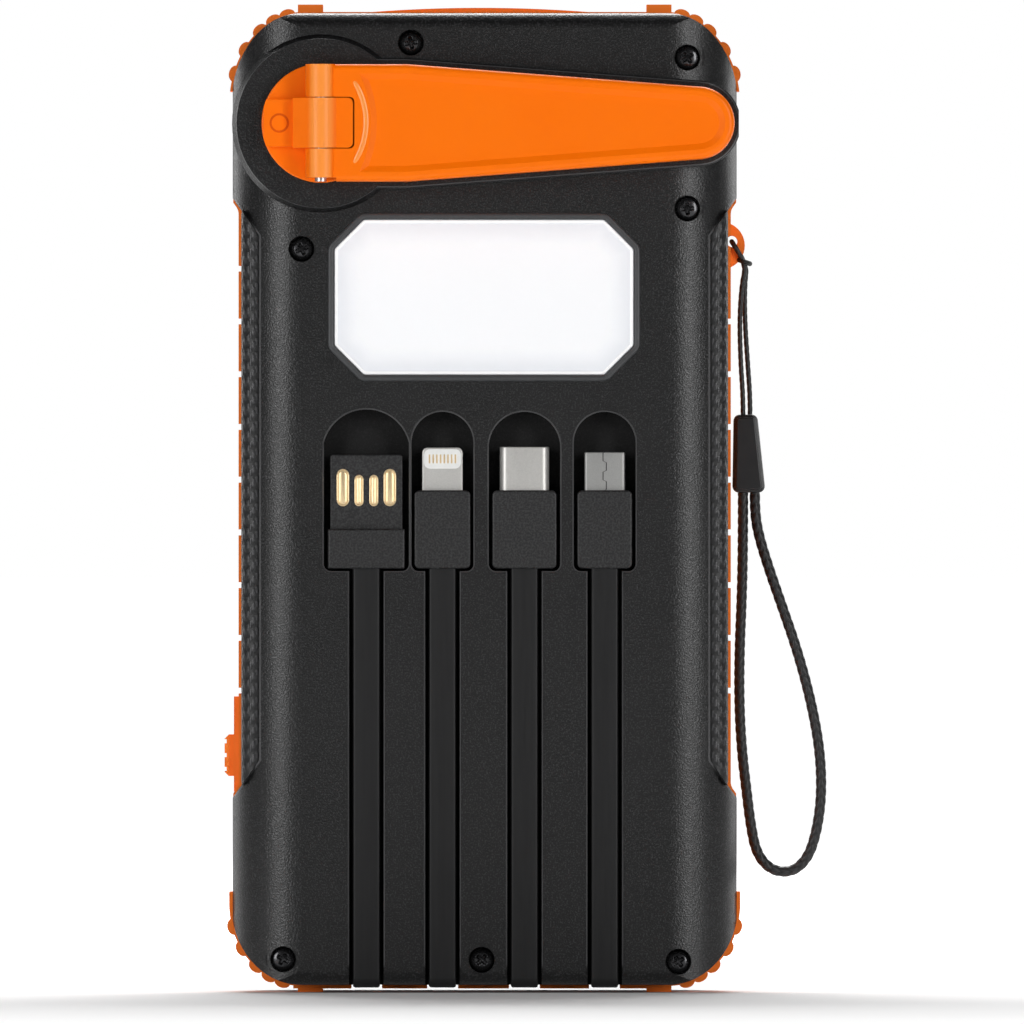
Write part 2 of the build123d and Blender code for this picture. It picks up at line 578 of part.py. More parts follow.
def make_bumper():
    """Soft band between the covers: corner nubs, side segments, bottom strips and strap lug."""
    low, high = -BAND_HALF, BAND_HALF
    outer = case_face(BAND_PROUD, BAND_REACH)
    side_cut = CASE_HALF_WIDTH - BAND_PROUD
    lower, upper = CASE_BOTTOM + CORNER_HEIGHT_BOTTOM, CASE_TOP - CORNER_HEIGHT_TOP
    band = slab(outer, low, high)
    pieces = []
    for x, z, slope in nub_places(True) + nub_places(False):
        nub = slab(Pos(x, z) * Rot(0, 0, slope) * Ellipse(NUB_LENGTH / 2, NUB_DEPTH / 2), low, high)
        pieces += [nub, mirror(nub, Plane.YZ)]
    nub = END_NUB_LENGTH / 2
    for side in (-1, 1):
        x = side * END_NUB_X
        pieces.append(block(x - nub, x + nub, low, high, CASE_TOP - 1, CASE_TOP + END_NUB_PROUD))
        pieces.append(block(x - nub, x + nub, low, high, 0, CASE_BOTTOM + 1))
    pieces.append(block(-STRIP_END, STRIP_END - 1.5, low, high, STRIP_BOTTOM, CASE_BOTTOM + 1))
    pieces.append(rod(LUG_X, LUG_Z, LUG_RADIUS, -LUG_THICKNESS / 2, LUG_THICKNESS / 2))
    pad = block(-BUTTON_PAD_REACH, -BAND_REACH + 1, -BAND_HALF + 0.8, BAND_HALF - 0.8,
                BUTTON_PAD_BOTTOM, BUTTON_PAD_TOP)
    pieces.append(pad)
    band = band.fuse(*pieces)

    cuts = [slab(case_face(-WALL, WAIST_HALF_WIDTH - WALL), low - 1, high + 1)]
    for side in (-1, 1):
        inner, outside = sorted((side * side_cut, side * 60))
        low_segment = (lower + 2, waist_z(side_cut, BAND_PROUD, False) + 0.01)
        high_segment = (waist_z(side_cut, BAND_PROUD) - 0.01, upper + 2.5)
        for z_from, z_to in (low_segment, high_segment):
            cuts.append(block(inner, outside, low - 1, high + 1, z_from, z_to))
        for index in range(NOTCH_COUNT if side < 0 else NOTCH_COUNT - 1):
            z = NOTCH_LOWEST + NOTCH_PITCH * index
            start, stop = sorted((side * (BAND_REACH - 0.6), side * (BAND_REACH + 2)))
            cuts.append(block(start, stop, low - 1, high + 1, z - NOTCH_WIDTH / 2, z + NOTCH_WIDTH / 2))
    for lead in LEADS.values():
        half = CABLE_WIDTH / 2 + 0.3
        cuts.append(block(lead["x"] - half, lead["x"] + half, low - 1, high + 1, -1, CASE_BOTTOM))
    cuts.append(rod(EYELET_X, EYELET_Z, EYELET_RADIUS, low, high))
    cuts += [rod(x, z, POST_RADIUS + POST_GAP, low - 1, high + 1) for x, z in SCREW_PLACES]
    cuts.append(block(FLAP_LEFT - 0.25, FLAP_RIGHT + 0.25, -FLAP_WIDTH / 2 - 0.2, FLAP_WIDTH / 2 + 0.2,
                      FLAP_FLOOR - 0.2, CASE_TOP + 3))
    back = PORT_A_HEIGHT / 2 + 0.1
    ports = ((PORT_A_X, PORT_A_WIDTH, PORT_A_HEIGHT), (PORT_C_X, PORT_C_WIDTH, PORT_C_HEIGHT))
    for x, width, height in ports:
        half = width / 2 + 0.1
        cuts.append(block(x - half, x + half, back - height - 0.2, back, CASE_TOP - 9, CASE_TOP + 3))
    cuts.append(block(-60, -WAIST_HALF_WIDTH + WALL + 1, -BUTTON_WIDTH / 2 - 0.15, BUTTON_WIDTH / 2 + 0.15,
                      BUTTON_Z - BUTTON_HEIGHT / 2 - 0.15, BUTTON_Z + BUTTON_HEIGHT / 2 + 0.15))
    return band.cut(*cuts)


def make_grip(side, towards):
    """Textured strip in the waist; side is -1 or 1 in x, towards is -1 or 1 in y."""
    reach, waist = GRIP_REACH, WAIST_HALF_WIDTH
    ends = (waist_z(waist, 0, False), waist_z(waist, 0))
    outline = Polyline(
        (waist, ends[0]), (reach, waist_z(reach, 0, False)), (reach, waist_z(reach, 0)),
        (waist, ends[1]), close=True,
    )
    face = make_face(outline)
    inner_corners = [corner for corner in face.vertices() if at_place(corner, waist, ends)]
    strip = slab(fillet(inner_corners, WAIST_INNER_RADIUS), FRONT + GRIP_DROP, -BAND_HALF)
    corner = strip.edges().filter_by(Axis.Z).sort_by(Axis.X)[-2:].sort_by(Axis.Y)[0]
    strip = fillet(corner, GRIP_EDGE_RADIUS)
    if towards > 0:
        strip = mirror(strip, Plane.XZ)
    return mirror(strip, Plane.YZ) if side < 0 else strip


def make_screws():
    """Seven pan-head screws with cross recesses, as one group."""
    screws = []
    seat = FRONT + COUNTERBORE_DEPTH
    for x, z in SCREW_PLACES:
        head = rod(x, z, SCREW_HEAD_RADIUS, seat - SCREW_HEAD_HEIGHT, seat)
        shank = rod(x, z, SCREW_RADIUS, seat, seat + SCREW_LENGTH)
        recess = block(x - 1.1, x + 1.1, seat - SCREW_HEAD_HEIGHT - 1, seat - 0.7, z - 0.25, z + 0.25)
        across = block(x - 0.25, x + 0.25, seat - SCREW_HEAD_HEIGHT - 1, seat - 0.7, z - 1.1, z + 1.1)
        screws.append((head + shank).cut(recess, across))
    return Compound(children=screws)


# ---------------------------------------------------------------- lamp and solar side


def make_lamp():
    """Bezel ring, diffuser and light board."""
    front = FRONT - BEZEL_PROUD
    ring = slab(lamp_face(0), front, front + BEZEL_DEPTH)
    outer_edges = ring.faces().sort_by(Axis.Y)[0].edges()
    ring = chamfer(outer_edges, 0.6)
    bezel = ring - slab(lamp_face(BEZEL_WIDTH), front - 1, front + BEZEL_DEPTH + 1)
    seat = front + DIFFUSER_DROP
    diffuser = slab(lamp_face(BEZEL_WIDTH), seat, seat + DIFFUSER_THICKNESS)
    diffuser = chamfer(diffuser.faces().sort_by(Axis.Y)[0].edges(), 0.3)
    start = seat + DIFFUSER_THICKNESS + LAMP_BOARD_GAP
    board = slab(lamp_face(BEZEL_WIDTH + 0.1), start, start + LAMP_BOARD_THICKNESS)
    return bezel, diffuser, board


def make_solar_panel():
    """Sealed solar panel in the recess of its cover."""
    gap = 0.1
    return block(-SOLAR_HALF_WIDTH + gap, SOLAR_HALF_WIDTH - gap, BACK - SOLAR_THICKNESS, BACK - 0.1,
                 SOLAR_BOTTOM + gap, SOLAR_TOP - gap)


def make_charge_lights():
    """Clear light pipes of the charge lights, as one group."""
    pipes = [rod(x, LIGHT_Z, LIGHT_RADIUS - 0.02, CAVITY_BACK, BACK - 0.1) for x in light_places()]
    return Compound(children=pipes)


# ---------------------------------------------------------------- crank


def make_hub():
    """Crank disc with the middle knuckle, its block and the lower block that stops the arm."""
    disc = rod(HUB_X, HUB_Z, HUB_RADIUS, HUB_BOTTOM, HUB_TOP)
    disc = fillet(disc.faces().sort_by(Axis.Y)[0].edges(), HUB_EDGE_RADIUS)
    half = MIDDLE_HALF_LENGTH - 0.15
    left, right = HUB_X + STOP_BLOCK_RIGHT, HUB_X + MIDDLE_RIGHT
    crest = PIN_Y - KNUCKLE_RADIUS + 0.28
    profile = Polyline(
        (left, HUB_BOTTOM), (left, PIN_Y), (HUB_X - 1.2, crest), (HUB_X + 1.2, crest),
        (HUB_X + KNUCKLE_RADIUS, ARM_TOP), (right, ARM_TOP), (right, HUB_BOTTOM), close=True,
    )
    middle = Pos(0, 0, HUB_Z - half) * extrude(make_face(profile), 2 * half)
    plan = RectangleRounded(2 * MIDDLE_RIGHT, 2 * half, MIDDLE_CORNER_RADIUS)
    middle = middle & slab(Pos(HUB_X, HUB_Z) * plan, ARM_TOP - 2, HUB_BOTTOM)
    knuckle = column(HUB_X, PIN_Y, KNUCKLE_RADIUS, HUB_Z - half, HUB_Z + half)
    stop = block(HUB_X + STOP_BLOCK_LEFT, left + 0.5, STOP_TOP, HUB_BOTTOM,
                 HUB_Z - STOP_BLOCK_HALF_WIDTH, HUB_Z + STOP_BLOCK_HALF_WIDTH)
    stop = stop & rod(HUB_X, HUB_Z, HUB_RADIUS, HUB_BOTTOM, STOP_TOP - 1)
    mark = rod(HUB_X + STOP_MARK_X, HUB_Z, STOP_MARK_RADIUS, STOP_TOP - 0.12, STOP_TOP + 0.5)
    hub = disc.fuse(middle, knuckle, stop, mark)
    bore = column(HUB_X, PIN_Y, PIN_RADIUS, HUB_Z - 20, HUB_Z + 20)
    socket = rod(HUB_X, HUB_Z, SHAFT_RADIUS - 0.5, HUB_BOTTOM - 1.0, HUB_BOTTOM + 1)
    return hub.cut(bore, socket)


def make_arm_pin():
    """Steel fold pin, held in the hub's knuckle."""
    return column(HUB_X, PIN_Y, PIN_RADIUS, HUB_Z - ARM_ROOT_HALF_WIDTH, HUB_Z + ARM_ROOT_HALF_WIDTH - 0.4)


def arm_dish():
    """What is cut out of the arm's top: a shallow dish with sloping sides and a curved end at the hub."""
    end = Pos(HUB_X + DISH_END_X - DISH_END_RADIUS, HUB_Z) * Circle(DISH_END_RADIUS)
    mouth = arm_face(-ARM_RIM_WIDTH) - end
    slope = math.degrees(math.atan2(DISH_SLOPE, ARM_DISH))
    sloping = extrude(Pos(0, ARM_TOP, 0) * (Plane.XZ * mouth), amount=-ARM_DISH, taper=slope)
    return sloping + slab(mouth, ARM_TOP, ARM_TOP - 1)


def make_arm():
    """Folding arm with two knuckles, a raised rim round a dished panel and a pocket for the knob."""
    body = slab(arm_face(start=0.0), ARM_BOTTOM, ARM_TOP)
    body = body - rod(HUB_X, HUB_Z, HUB_RADIUS + 0.4, ARM_BOTTOM + 1, HUB_TOP - RUNNING_GAP)
    rim = body.faces().sort_by(Axis.Y)[0].edges()
    far = [edge for edge in rim if edge.center().X > HUB_X + 0.1]
    body = fillet(far, ARM_RIM_RADIUS)
    low, high = HUB_Z - ARM_ROOT_HALF_WIDTH, HUB_Z + ARM_ROOT_HALF_WIDTH
    knuckles = column(HUB_X, PIN_Y, KNUCKLE_RADIUS, low, high)
    under_end = block(HUB_X - 5, HUB_X + KNUCKLE_RADIUS, ARM_REACH - 1, 0, low - 1, HUB_Z - KNUCKLE_LOW_END)
    notch = RectangleRounded(2 * NOTCH_EDGE, 2 * MIDDLE_HALF_LENGTH, MIDDLE_CORNER_RADIUS)
    notch = slab(Pos(HUB_X, HUB_Z) * notch, ARM_REACH - 1, 0)
    bore = column(HUB_X, PIN_Y, PIN_RADIUS + RUNNING_CLEARANCE, low - 1, high + 1)
    ceiling = KNOB_Y - KNOB_THICKNESS / 2 - 0.3
    half = KNOB_WIDTH / 2 + KNOB_GAP
    end = KNOB_PIN_X + KNOB_THICKNESS / 2 + KNOB_GAP
    free = KNOB_PIN_X - KNOB_LENGTH - KNOB_FINGER_ROOM
    pocket = block(HUB_X + free, HUB_X + end, ceiling, 0, HUB_Z - half, HUB_Z + half)
    pin_hole = column(HUB_X + KNOB_PIN_X, KNOB_Y, KNOB_PIN_RADIUS, HUB_Z - half - 1.0, HUB_Z + half + 1.0)
    return (body + knuckles).cut(arm_dish(), under_end, notch, bore, pocket, pin_hole)


def make_knob():
    """Flat finger knob that lies in the arm's underside and flips out of it."""
    x, round_end = HUB_X + KNOB_PIN_X, KNOB_THICKNESS / 2
    half = KNOB_WIDTH / 2
    body = block(x - KNOB_LENGTH, x, KNOB_Y - round_end, KNOB_Y + round_end, HUB_Z - half, HUB_Z + half)
    free = body.edges().filter_by(Axis.Y).sort_by(Axis.X)[:2]
    body = fillet(free, 2.5)
    barrel = column(x, KNOB_Y, round_end, HUB_Z - half, HUB_Z + half)
    bore = column(x, KNOB_Y, KNOB_PIN_RADIUS + RUNNING_CLEARANCE, HUB_Z - half - 1, HUB_Z + half + 1)
    return (body + barrel) - bore


def make_knob_pin():
    """Steel pin of the knob, held in the arm."""
    half = KNOB_WIDTH / 2 + KNOB_GAP + 0.9
    return column(HUB_X + KNOB_PIN_X, KNOB_Y, KNOB_PIN_RADIUS, HUB_Z - half, HUB_Z + half)


def make_crank_bush():
    """Brass bush in the plinth that carries the crank shaft."""
    outer = rod(HUB_X, HUB_Z, SHAFT_RADIUS + BUSH_WALL - 0.02, PLINTH_TOP, CAVITY_FRONT + 0.2)
    return outer - rod(HUB_X, HUB_Z, SHAFT_RADIUS + RUNNING_CLEARANCE, PLINTH_TOP - 1, CAVITY_FRONT + 1)


def make_crank_shaft():
    """Stepped steel shaft from the hub to the gear plate."""
    drive_back = DRIVE_FRONT + GEAR_THICKNESS
    head = rod(HUB_X, HUB_Z, SHAFT_RADIUS - 0.5, HUB_BOTTOM - 1.0, HUB_BOTTOM)
    body = rod(HUB_X, HUB_Z, SHAFT_RADIUS, HUB_BOTTOM, drive_back + 0.4)
    stub = rod(HUB_X, HUB_Z, STUB_RADIUS, drive_back + 0.4, PLATE_BACK - 0.1)
    return head + body + stub


# ---------------------------------------------------------------- gear train and generator


def make_drive_gear():
    """Large gear on the crank shaft."""
    face = Pos(HUB_X, HUB_Z) * gear_face(DRIVE_TEETH, WHEEL_ADDENDUM, FIRST_MESH_ANGLE)
    gear = slab(face, DRIVE_FRONT, DRIVE_FRONT + GEAR_THICKNESS)
    return gear - rod(HUB_X, HUB_Z, SHAFT_RADIUS + 0.02, DRIVE_FRONT - 1, DRIVE_FRONT + GEAR_THICKNESS + 1)


def make_lay_gear():
    """Compound gear: a pinion under the drive gear and the wheel that turns the generator."""
    gap_turn = FIRST_MESH_ANGLE + 180 + 180 / FIRST_PINION_TEETH
    pinion = Pos(LAY_X, LAY_Z) * gear_face(FIRST_PINION_TEETH, PINION_ADDENDUM, gap_turn)
    wheel = Pos(LAY_X, LAY_Z) * gear_face(WHEEL_TEETH, WHEEL_ADDENDUM, SECOND_MESH_ANGLE)
    low = slab(pinion, DRIVE_FRONT, WHEEL_FRONT)
    high = slab(wheel, WHEEL_FRONT, WHEEL_FRONT + GEAR_THICKNESS)
    collar = rod(LAY_X, LAY_Z, AXLE_RADIUS + 1.2, WHEEL_FRONT + GEAR_THICKNESS, PLATE_FRONT - RUNNING_GAP)
    bore = rod(LAY_X, LAY_Z, AXLE_RADIUS + RUNNING_CLEARANCE, DRIVE_FRONT - 1, PLATE_FRONT)
    return low.fuse(high, collar) - bore


def make_lay_axle():
    """Steel pin in the gear plate that carries the compound gear."""
    return rod(LAY_X, LAY_Z, AXLE_RADIUS, DRIVE_FRONT - 0.2, PLATE_BACK)


def make_gear_plate():
    """Plate behind the gears, on three posts from the cover, with the bearing holes."""
    pads = [Pos(x, z) * Circle(PLATE_POST_RADIUS + PLATE_PAD) for x, z in PLATE_POSTS]
    pads += [Pos(HUB_X, HUB_Z) * Circle(HUB_PAD_RADIUS), Pos(GEN_X, GEN_Z) * Circle(GENERATOR_RADIUS)]
    outline = make_hull([edge for pad in pads for edge in pad.edges()])
    plate = slab(outline, PLATE_FRONT, PLATE_BACK)
    posts = [rod(x, z, PLATE_POST_RADIUS, CAVITY_FRONT, PLATE_FRONT + 0.5) for x, z in PLATE_POSTS]
    holes = [
        rod(HUB_X, HUB_Z, STUB_RADIUS + RUNNING_CLEARANCE, PLATE_FRONT - 1, PLATE_BACK + 1),
        rod(LAY_X, LAY_Z, AXLE_RADIUS, PLATE_FRONT - 1, PLATE_BACK + 1),
        rod(GEN_X, GEN_Z, AXLE_RADIUS + RUNNING_CLEARANCE, PLATE_FRONT - 1, PLATE_BACK + 1),
        rod(*SCREW_BY_PLATE, POST_RADIUS + 0.3, PLATE_FRONT - 1, PLATE_BACK + 1),
    ]
    return plate.fuse(*posts).cut(*holes)


def make_generator():
    """Generator can on the gear plate, its wound stator, and the rotor with its pinion."""
    back = PLATE_BACK + GENERATOR_LENGTH
    can = rod(GEN_X, GEN_Z, GENERATOR_RADIUS, PLATE_BACK, back)
    can = can - rod(GEN_X, GEN_Z, GENERATOR_RADIUS - 1.0, PLATE_BACK - 1, back - 1.0)
    can = can + rod(GEN_X, GEN_Z, 3.0, back - 2.5, back)
    can = can - rod(GEN_X, GEN_Z, AXLE_RADIUS + RUNNING_CLEARANCE, back - 3, back - 1.0)
    ring_outer = GENERATOR_RADIUS - 1.0
    stator = rod(GEN_X, GEN_Z, ring_outer - 0.02, PLATE_BACK + 1.5, back - 2.8)
    stator = stator - rod(GEN_X, GEN_Z, ring_outer - STATOR_THICKNESS, PLATE_BACK, back)
    gap_turn = SECOND_MESH_ANGLE + 180 + 180 / LAST_PINION_TEETH
    pinion = Pos(GEN_X, GEN_Z) * gear_face(LAST_PINION_TEETH, PINION_ADDENDUM, gap_turn)
    rotor = slab(pinion, WHEEL_FRONT, WHEEL_FRONT + GEAR_THICKNESS)
    shaft = rod(GEN_X, GEN_Z, AXLE_RADIUS, WHEEL_FRONT, back - 1.3)
    magnet = rod(GEN_X, GEN_Z, MAGNET_RADIUS, PLATE_BACK + 1.5, back - 2.8)
    return can, stator, rotor.fuse(shaft, magnet)


# ---------------------------------------------------------------- cells, board, ports and button


def make_cells():
    """Two flat cells, one behind the other, with rounded edges."""
    cells = []
    for index in range(2):
        start = TRAY_BACK + FIT_GAP + index * (CELL_THICKNESS + FIT_GAP)
        end = start + CELL_THICKNESS
        cell = block(-CELL_HALF_WIDTH, CELL_HALF_WIDTH, start, end, CELL_BOTTOM, CELL_TOP)
        cells.append(fillet(cell.edges().filter_by(Axis.Z), 2.0))
    return cells


def make_main_board():
    """Charging board under the ports, with a coil and two chips on it."""
    start = PORT_A_HEIGHT / 2
    end = start + BOARD_THICKNESS
    board = block(BOARD_LEFT, BOARD_RIGHT, start, end, BOARD_SHOULDER, BOARD_TOP)
    neck = block(BOARD_NECK, BOARD_RIGHT, start, end, BOARD_BOTTOM, BOARD_SHOULDER)
    coil = rod(*COIL_PLACE, COIL_RADIUS, start - COIL_RADIUS, start)
    chips = [block(CHIP_LEFT, CHIP_RIGHT, start - 1.2, start, z, z + 5) for z in CHIP_BOTTOMS]
    return board.fuse(neck, coil, *chips)


def make_port(x, width, height, depth, tongue):
    """Open metal socket with a tongue, standing in the band under the flap."""
    back = PORT_A_HEIGHT / 2
    top = FLAP_FLOOR - 0.2
    shell = block(x - width / 2, x + width / 2, back - height, back, top - depth, top)
    half, wall = width / 2, 0.4
    inner = block(x - half + wall, x + half - wall, back - height + wall, back - wall,
                  top - depth + 1.2, top + 1)
    middle = back - height / 2
    blade = block(x - half + 1.2, x + half - 1.2, middle - tongue / 2, middle + tongue / 2,
                  top - depth + 1.0, top - 1.0)
    return (shell - inner) + blade


def make_port_cover():
    """Silicone flap over the ports: a bar with a low arched back, rounded where it hinges."""
    half = FLAP_WIDTH / 2
    crown = (FLAP_LEFT + FLAP_RIGHT) / 2 + 2
    top = FLAP_FLOOR + FLAP_THICKNESS
    profile = [
        Polyline((FLAP_PIVOT_X, top), (FLAP_PIVOT_X, FLAP_FLOOR), (FLAP_RIGHT, FLAP_FLOOR),
                 (FLAP_RIGHT, top - 0.3)),
        ThreePointArc((FLAP_RIGHT, top - 0.3), (crown, top + FLAP_BULGE), (FLAP_PIVOT_X, top)),
    ]
    hinge = rod(FLAP_PIVOT_X, FLAP_PIVOT_Z, FLAP_THICKNESS / 2, -half, half)
    return slab(make_face(profile), -half, half) + hinge


def make_power_button():
    """Ribbed button in the side of the band."""
    low, high = BUTTON_Z - BUTTON_HEIGHT / 2, BUTTON_Z + BUTTON_HEIGHT / 2
    half = BUTTON_WIDTH / 2
    body = block(-BUTTON_REACH, -BUTTON_INNER, -half, half, low, high)
    body = chamfer(body.faces().sort_by(Axis.X)[0].edges(), 0.7)
    grooves = [
        block(-BUTTON_REACH - 1, -BUTTON_REACH + 0.35, -half - 1, half + 1, z - 0.35, z + 0.35)
        for z in (low + BUTTON_HEIGHT * (index + 0.5) / RIB_COUNT for index in range(RIB_COUNT))
    ]
    return body.cut(*grooves)


def make_button_switch():
    """Small switch on its own board beside the cells, just inside the button."""
    inner = CELL_HALF_WIDTH + SWITCH_BOARD_GAP
    outer, half = inner + SWITCH_BOARD_THICKNESS, SWITCH_SIZE / 2
    front, back = SWITCH_BOARD_MARGINS
    board = block(-outer, -inner, CAVITY_FRONT + front, CAVITY_BACK - back, BUTTON_PAD_BOTTOM, BUTTON_PAD_TOP)
    plunger = shaft_x(0, BUTTON_Z, PLUNGER_RADIUS, -SWITCH_FACE - PLUNGER_LENGTH, -outer)
    case = block(-SWITCH_FACE, -outer, -half, half, BUTTON_Z - half, BUTTON_Z + half)
    return board.fuse(plunger, case)


# ---------------------------------------------------------------- leads


def make_lead(lead):
    """Flat cable with a round lower end, its moulded grip and the plug's tip."""
    x, half = lead["x"], CABLE_THICKNESS / 2
    strip = block(x - CABLE_WIDTH / 2, x + CABLE_WIDTH / 2, CABLE_Y - half, CABLE_Y + half, HINGE_Z,
                  POCKET_BOTTOM + LEAD_GAP)
    cable = strip + shaft_x(CABLE_Y, HINGE_Z, half, x - CABLE_WIDTH / 2, x + CABLE_WIDTH / 2)
    thick = GRIP_THICKNESS / 2
    grip = block(x - lead["grip"] / 2, x + lead["grip"] / 2, TIP_Y - thick, TIP_Y + thick,
                 POCKET_BOTTOM + LEAD_GAP, lead["grip_top"])
    grip = fillet(grip.edges().filter_by(Axis.Z), 0.6)
    bar = Pos(x, TIP_Y) * RectangleRounded(lead["tip"], lead["thick"], lead["thick"] * 0.35)
    tip = Pos(0, 0, lead["grip_top"]) * extrude(bar, lead["tip_top"] - lead["grip_top"])
    return cable, grip, tip


def make_lead_contacts():
    """Four flat contacts on the face of the first plug, as one group."""
    lead = LEADS["lead_1"]
    face = TIP_Y - lead["thick"] / 2
    pads = []
    for offset, width, height in CONTACTS:
        x = lead["x"] + offset
        pads.append(block(x - width / 2, x + width / 2, face - CONTACT_THICKNESS, face,
                          CONTACT_BOTTOM, CONTACT_BOTTOM + height))
    return Compound(children=pads)


# ---------------------------------------------------------------- wrist strap


def make_strap():
    """Thin hitch cord through the lug, crimp sleeve and braided loop."""
    outline = Polyline(
        (SLEEVE_TOP_X[0], SLEEVE_TOP), (SLEEVE_TOP_X[1], SLEEVE_TOP),
        (SLEEVE_BOTTOM_X[1], SLEEVE_BOTTOM), (SLEEVE_BOTTOM_X[0], SLEEVE_BOTTOM), close=True,
    )
    sleeve = slab(make_face(outline), -SLEEVE_THICKNESS / 2, SLEEVE_THICKNESS / 2)
    sleeve = fillet(sleeve.edges().filter_by(Axis.Y, reverse=True).filter_by(Axis.X, reverse=True), 0.6)
    hitch = cord_tube("strap_hitch", HITCH_ROUTE, STRAP_CORD_DIAMETER)
    loop = cord_tube("strap_loop", LOOP_ROUTE, STRAP_LOOP_DIAMETER)
    return hitch, sleeve, loop


# ---------------------------------------------------------------- assembly


def all_pieces():
    """Every piece by its name, about the case's middle plane."""
    outside, inside = case_block(), cavity()
    pieces = {
        "crank_cover": make_crank_cover(outside, inside),
        "panel_cover": make_panel_cover(outside, inside),
        "bumper_band": make_bumper(),
        "cover_screws": make_screws(),
        "solar_panel": make_solar_panel(),
        "charge_lights": make_charge_lights(),
        "crank_hub": make_hub(),
        "fold_pin": make_arm_pin(),
        "crank_arm": make_arm(),
        "crank_knob": make_knob(),
        "knob_pin": make_knob_pin(),
        "crank_bush": make_crank_bush(),
        "crank_shaft": make_crank_shaft(),
        "drive_gear": make_drive_gear(),
        "lay_gear": make_lay_gear(),
        "lay_axle": make_lay_axle(),
        "gear_plate": make_gear_plate(),
        "main_board": make_main_board(),
        "port_a": make_port(PORT_A_X, PORT_A_WIDTH, PORT_A_HEIGHT, PORT_A_DEPTH, 1.8),
        "port_c": make_port(PORT_C_X, PORT_C_WIDTH, PORT_C_HEIGHT, PORT_C_DEPTH, 0.7),
        "port_cover": make_port_cover(),
        "power_button": make_power_button(),
        "button_switch": make_button_switch(),
        "lead_1_contacts": make_lead_contacts(),
    }
    for side, side_name in ((-1, "left"), (1, "right")):
        for towards, face_name in ((-1, "crank"), (1, "panel")):
            pieces[f"{face_name}_grip_{side_name}"] = make_grip(side, towards)
    pieces["lamp_bezel"], pieces["lamp_diffuser"], pieces["lamp_board"] = make_lamp()
    pieces["generator_can"], pieces["generator_stator"], pieces["generator_rotor"] = make_generator()
    pieces["battery_cell_1"], pieces["battery_cell_2"] = make_cells()
    for name, lead in LEADS.items():
        pieces[name + "_cable"], pieces[name + "_grip"], pieces[name + "_tip"] = make_lead(lead)
    pieces["strap_hitch"], pieces["strap_sleeve"], pieces["strap_loop"] = make_strap()
    return pieces


if __name__ == "__main__":
    os.makedirs("parts", exist_ok=True)
    for node, piece in all_pieces().items():
        export_step(Pos(0, FRAME_SHIFT, 0) * piece, f"parts/{node}.step")
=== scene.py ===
import math

import bpy
import numpy as np
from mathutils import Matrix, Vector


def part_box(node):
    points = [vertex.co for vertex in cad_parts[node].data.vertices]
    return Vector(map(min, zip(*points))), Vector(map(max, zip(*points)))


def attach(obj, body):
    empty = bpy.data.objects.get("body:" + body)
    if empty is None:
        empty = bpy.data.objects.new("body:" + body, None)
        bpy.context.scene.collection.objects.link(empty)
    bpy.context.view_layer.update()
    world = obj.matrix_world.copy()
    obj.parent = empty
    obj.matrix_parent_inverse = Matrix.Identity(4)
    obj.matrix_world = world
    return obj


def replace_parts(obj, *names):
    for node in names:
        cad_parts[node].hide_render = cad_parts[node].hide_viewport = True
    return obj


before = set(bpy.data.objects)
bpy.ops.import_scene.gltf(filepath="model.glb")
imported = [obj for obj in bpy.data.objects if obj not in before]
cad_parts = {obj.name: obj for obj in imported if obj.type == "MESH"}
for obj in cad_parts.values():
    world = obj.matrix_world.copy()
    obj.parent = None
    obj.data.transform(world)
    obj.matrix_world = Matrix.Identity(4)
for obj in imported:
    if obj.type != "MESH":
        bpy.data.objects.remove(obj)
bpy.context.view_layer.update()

# ==== The photographer's view ====
# A long lens, level with the middle of the charger and straight on to the crank side, so that
# width and height show at 5.93 pixels to the millimetre and depth hardly shows at all.

MM = 0.001
CAMERA_DISTANCE = 4.0
PHOTO_WIDTH = 172.68
PHOTO_MIDDLE = (4.604, 80.94)
SENSOR_WIDTH = 36.0

lens = bpy.data.cameras.new("photo_lens")
lens.sensor_width = SENSOR_WIDTH
lens.lens = SENSOR_WIDTH * CAMERA_DISTANCE / (PHOTO_WIDTH * MM)
lens.clip_end = 60.0
camera = bpy.data.objects.new("photo_camera", lens)
camera.location = (PHOTO_MIDDLE[0] * MM, -CAMERA_DISTANCE, PHOTO_MIDDLE[1] * MM)
camera.rotation_euler = (math.radians(90), 0, 0)
bpy.context.scene.collection.objects.link(camera)
bpy.context.scene.camera = camera

# ==== Finishes ====
# Every surface of the charger is moulded, plated, printed or braided. One class turns sums on a
# node's output into Math nodes, and the other is a pot of finish: a material to add nodes to.


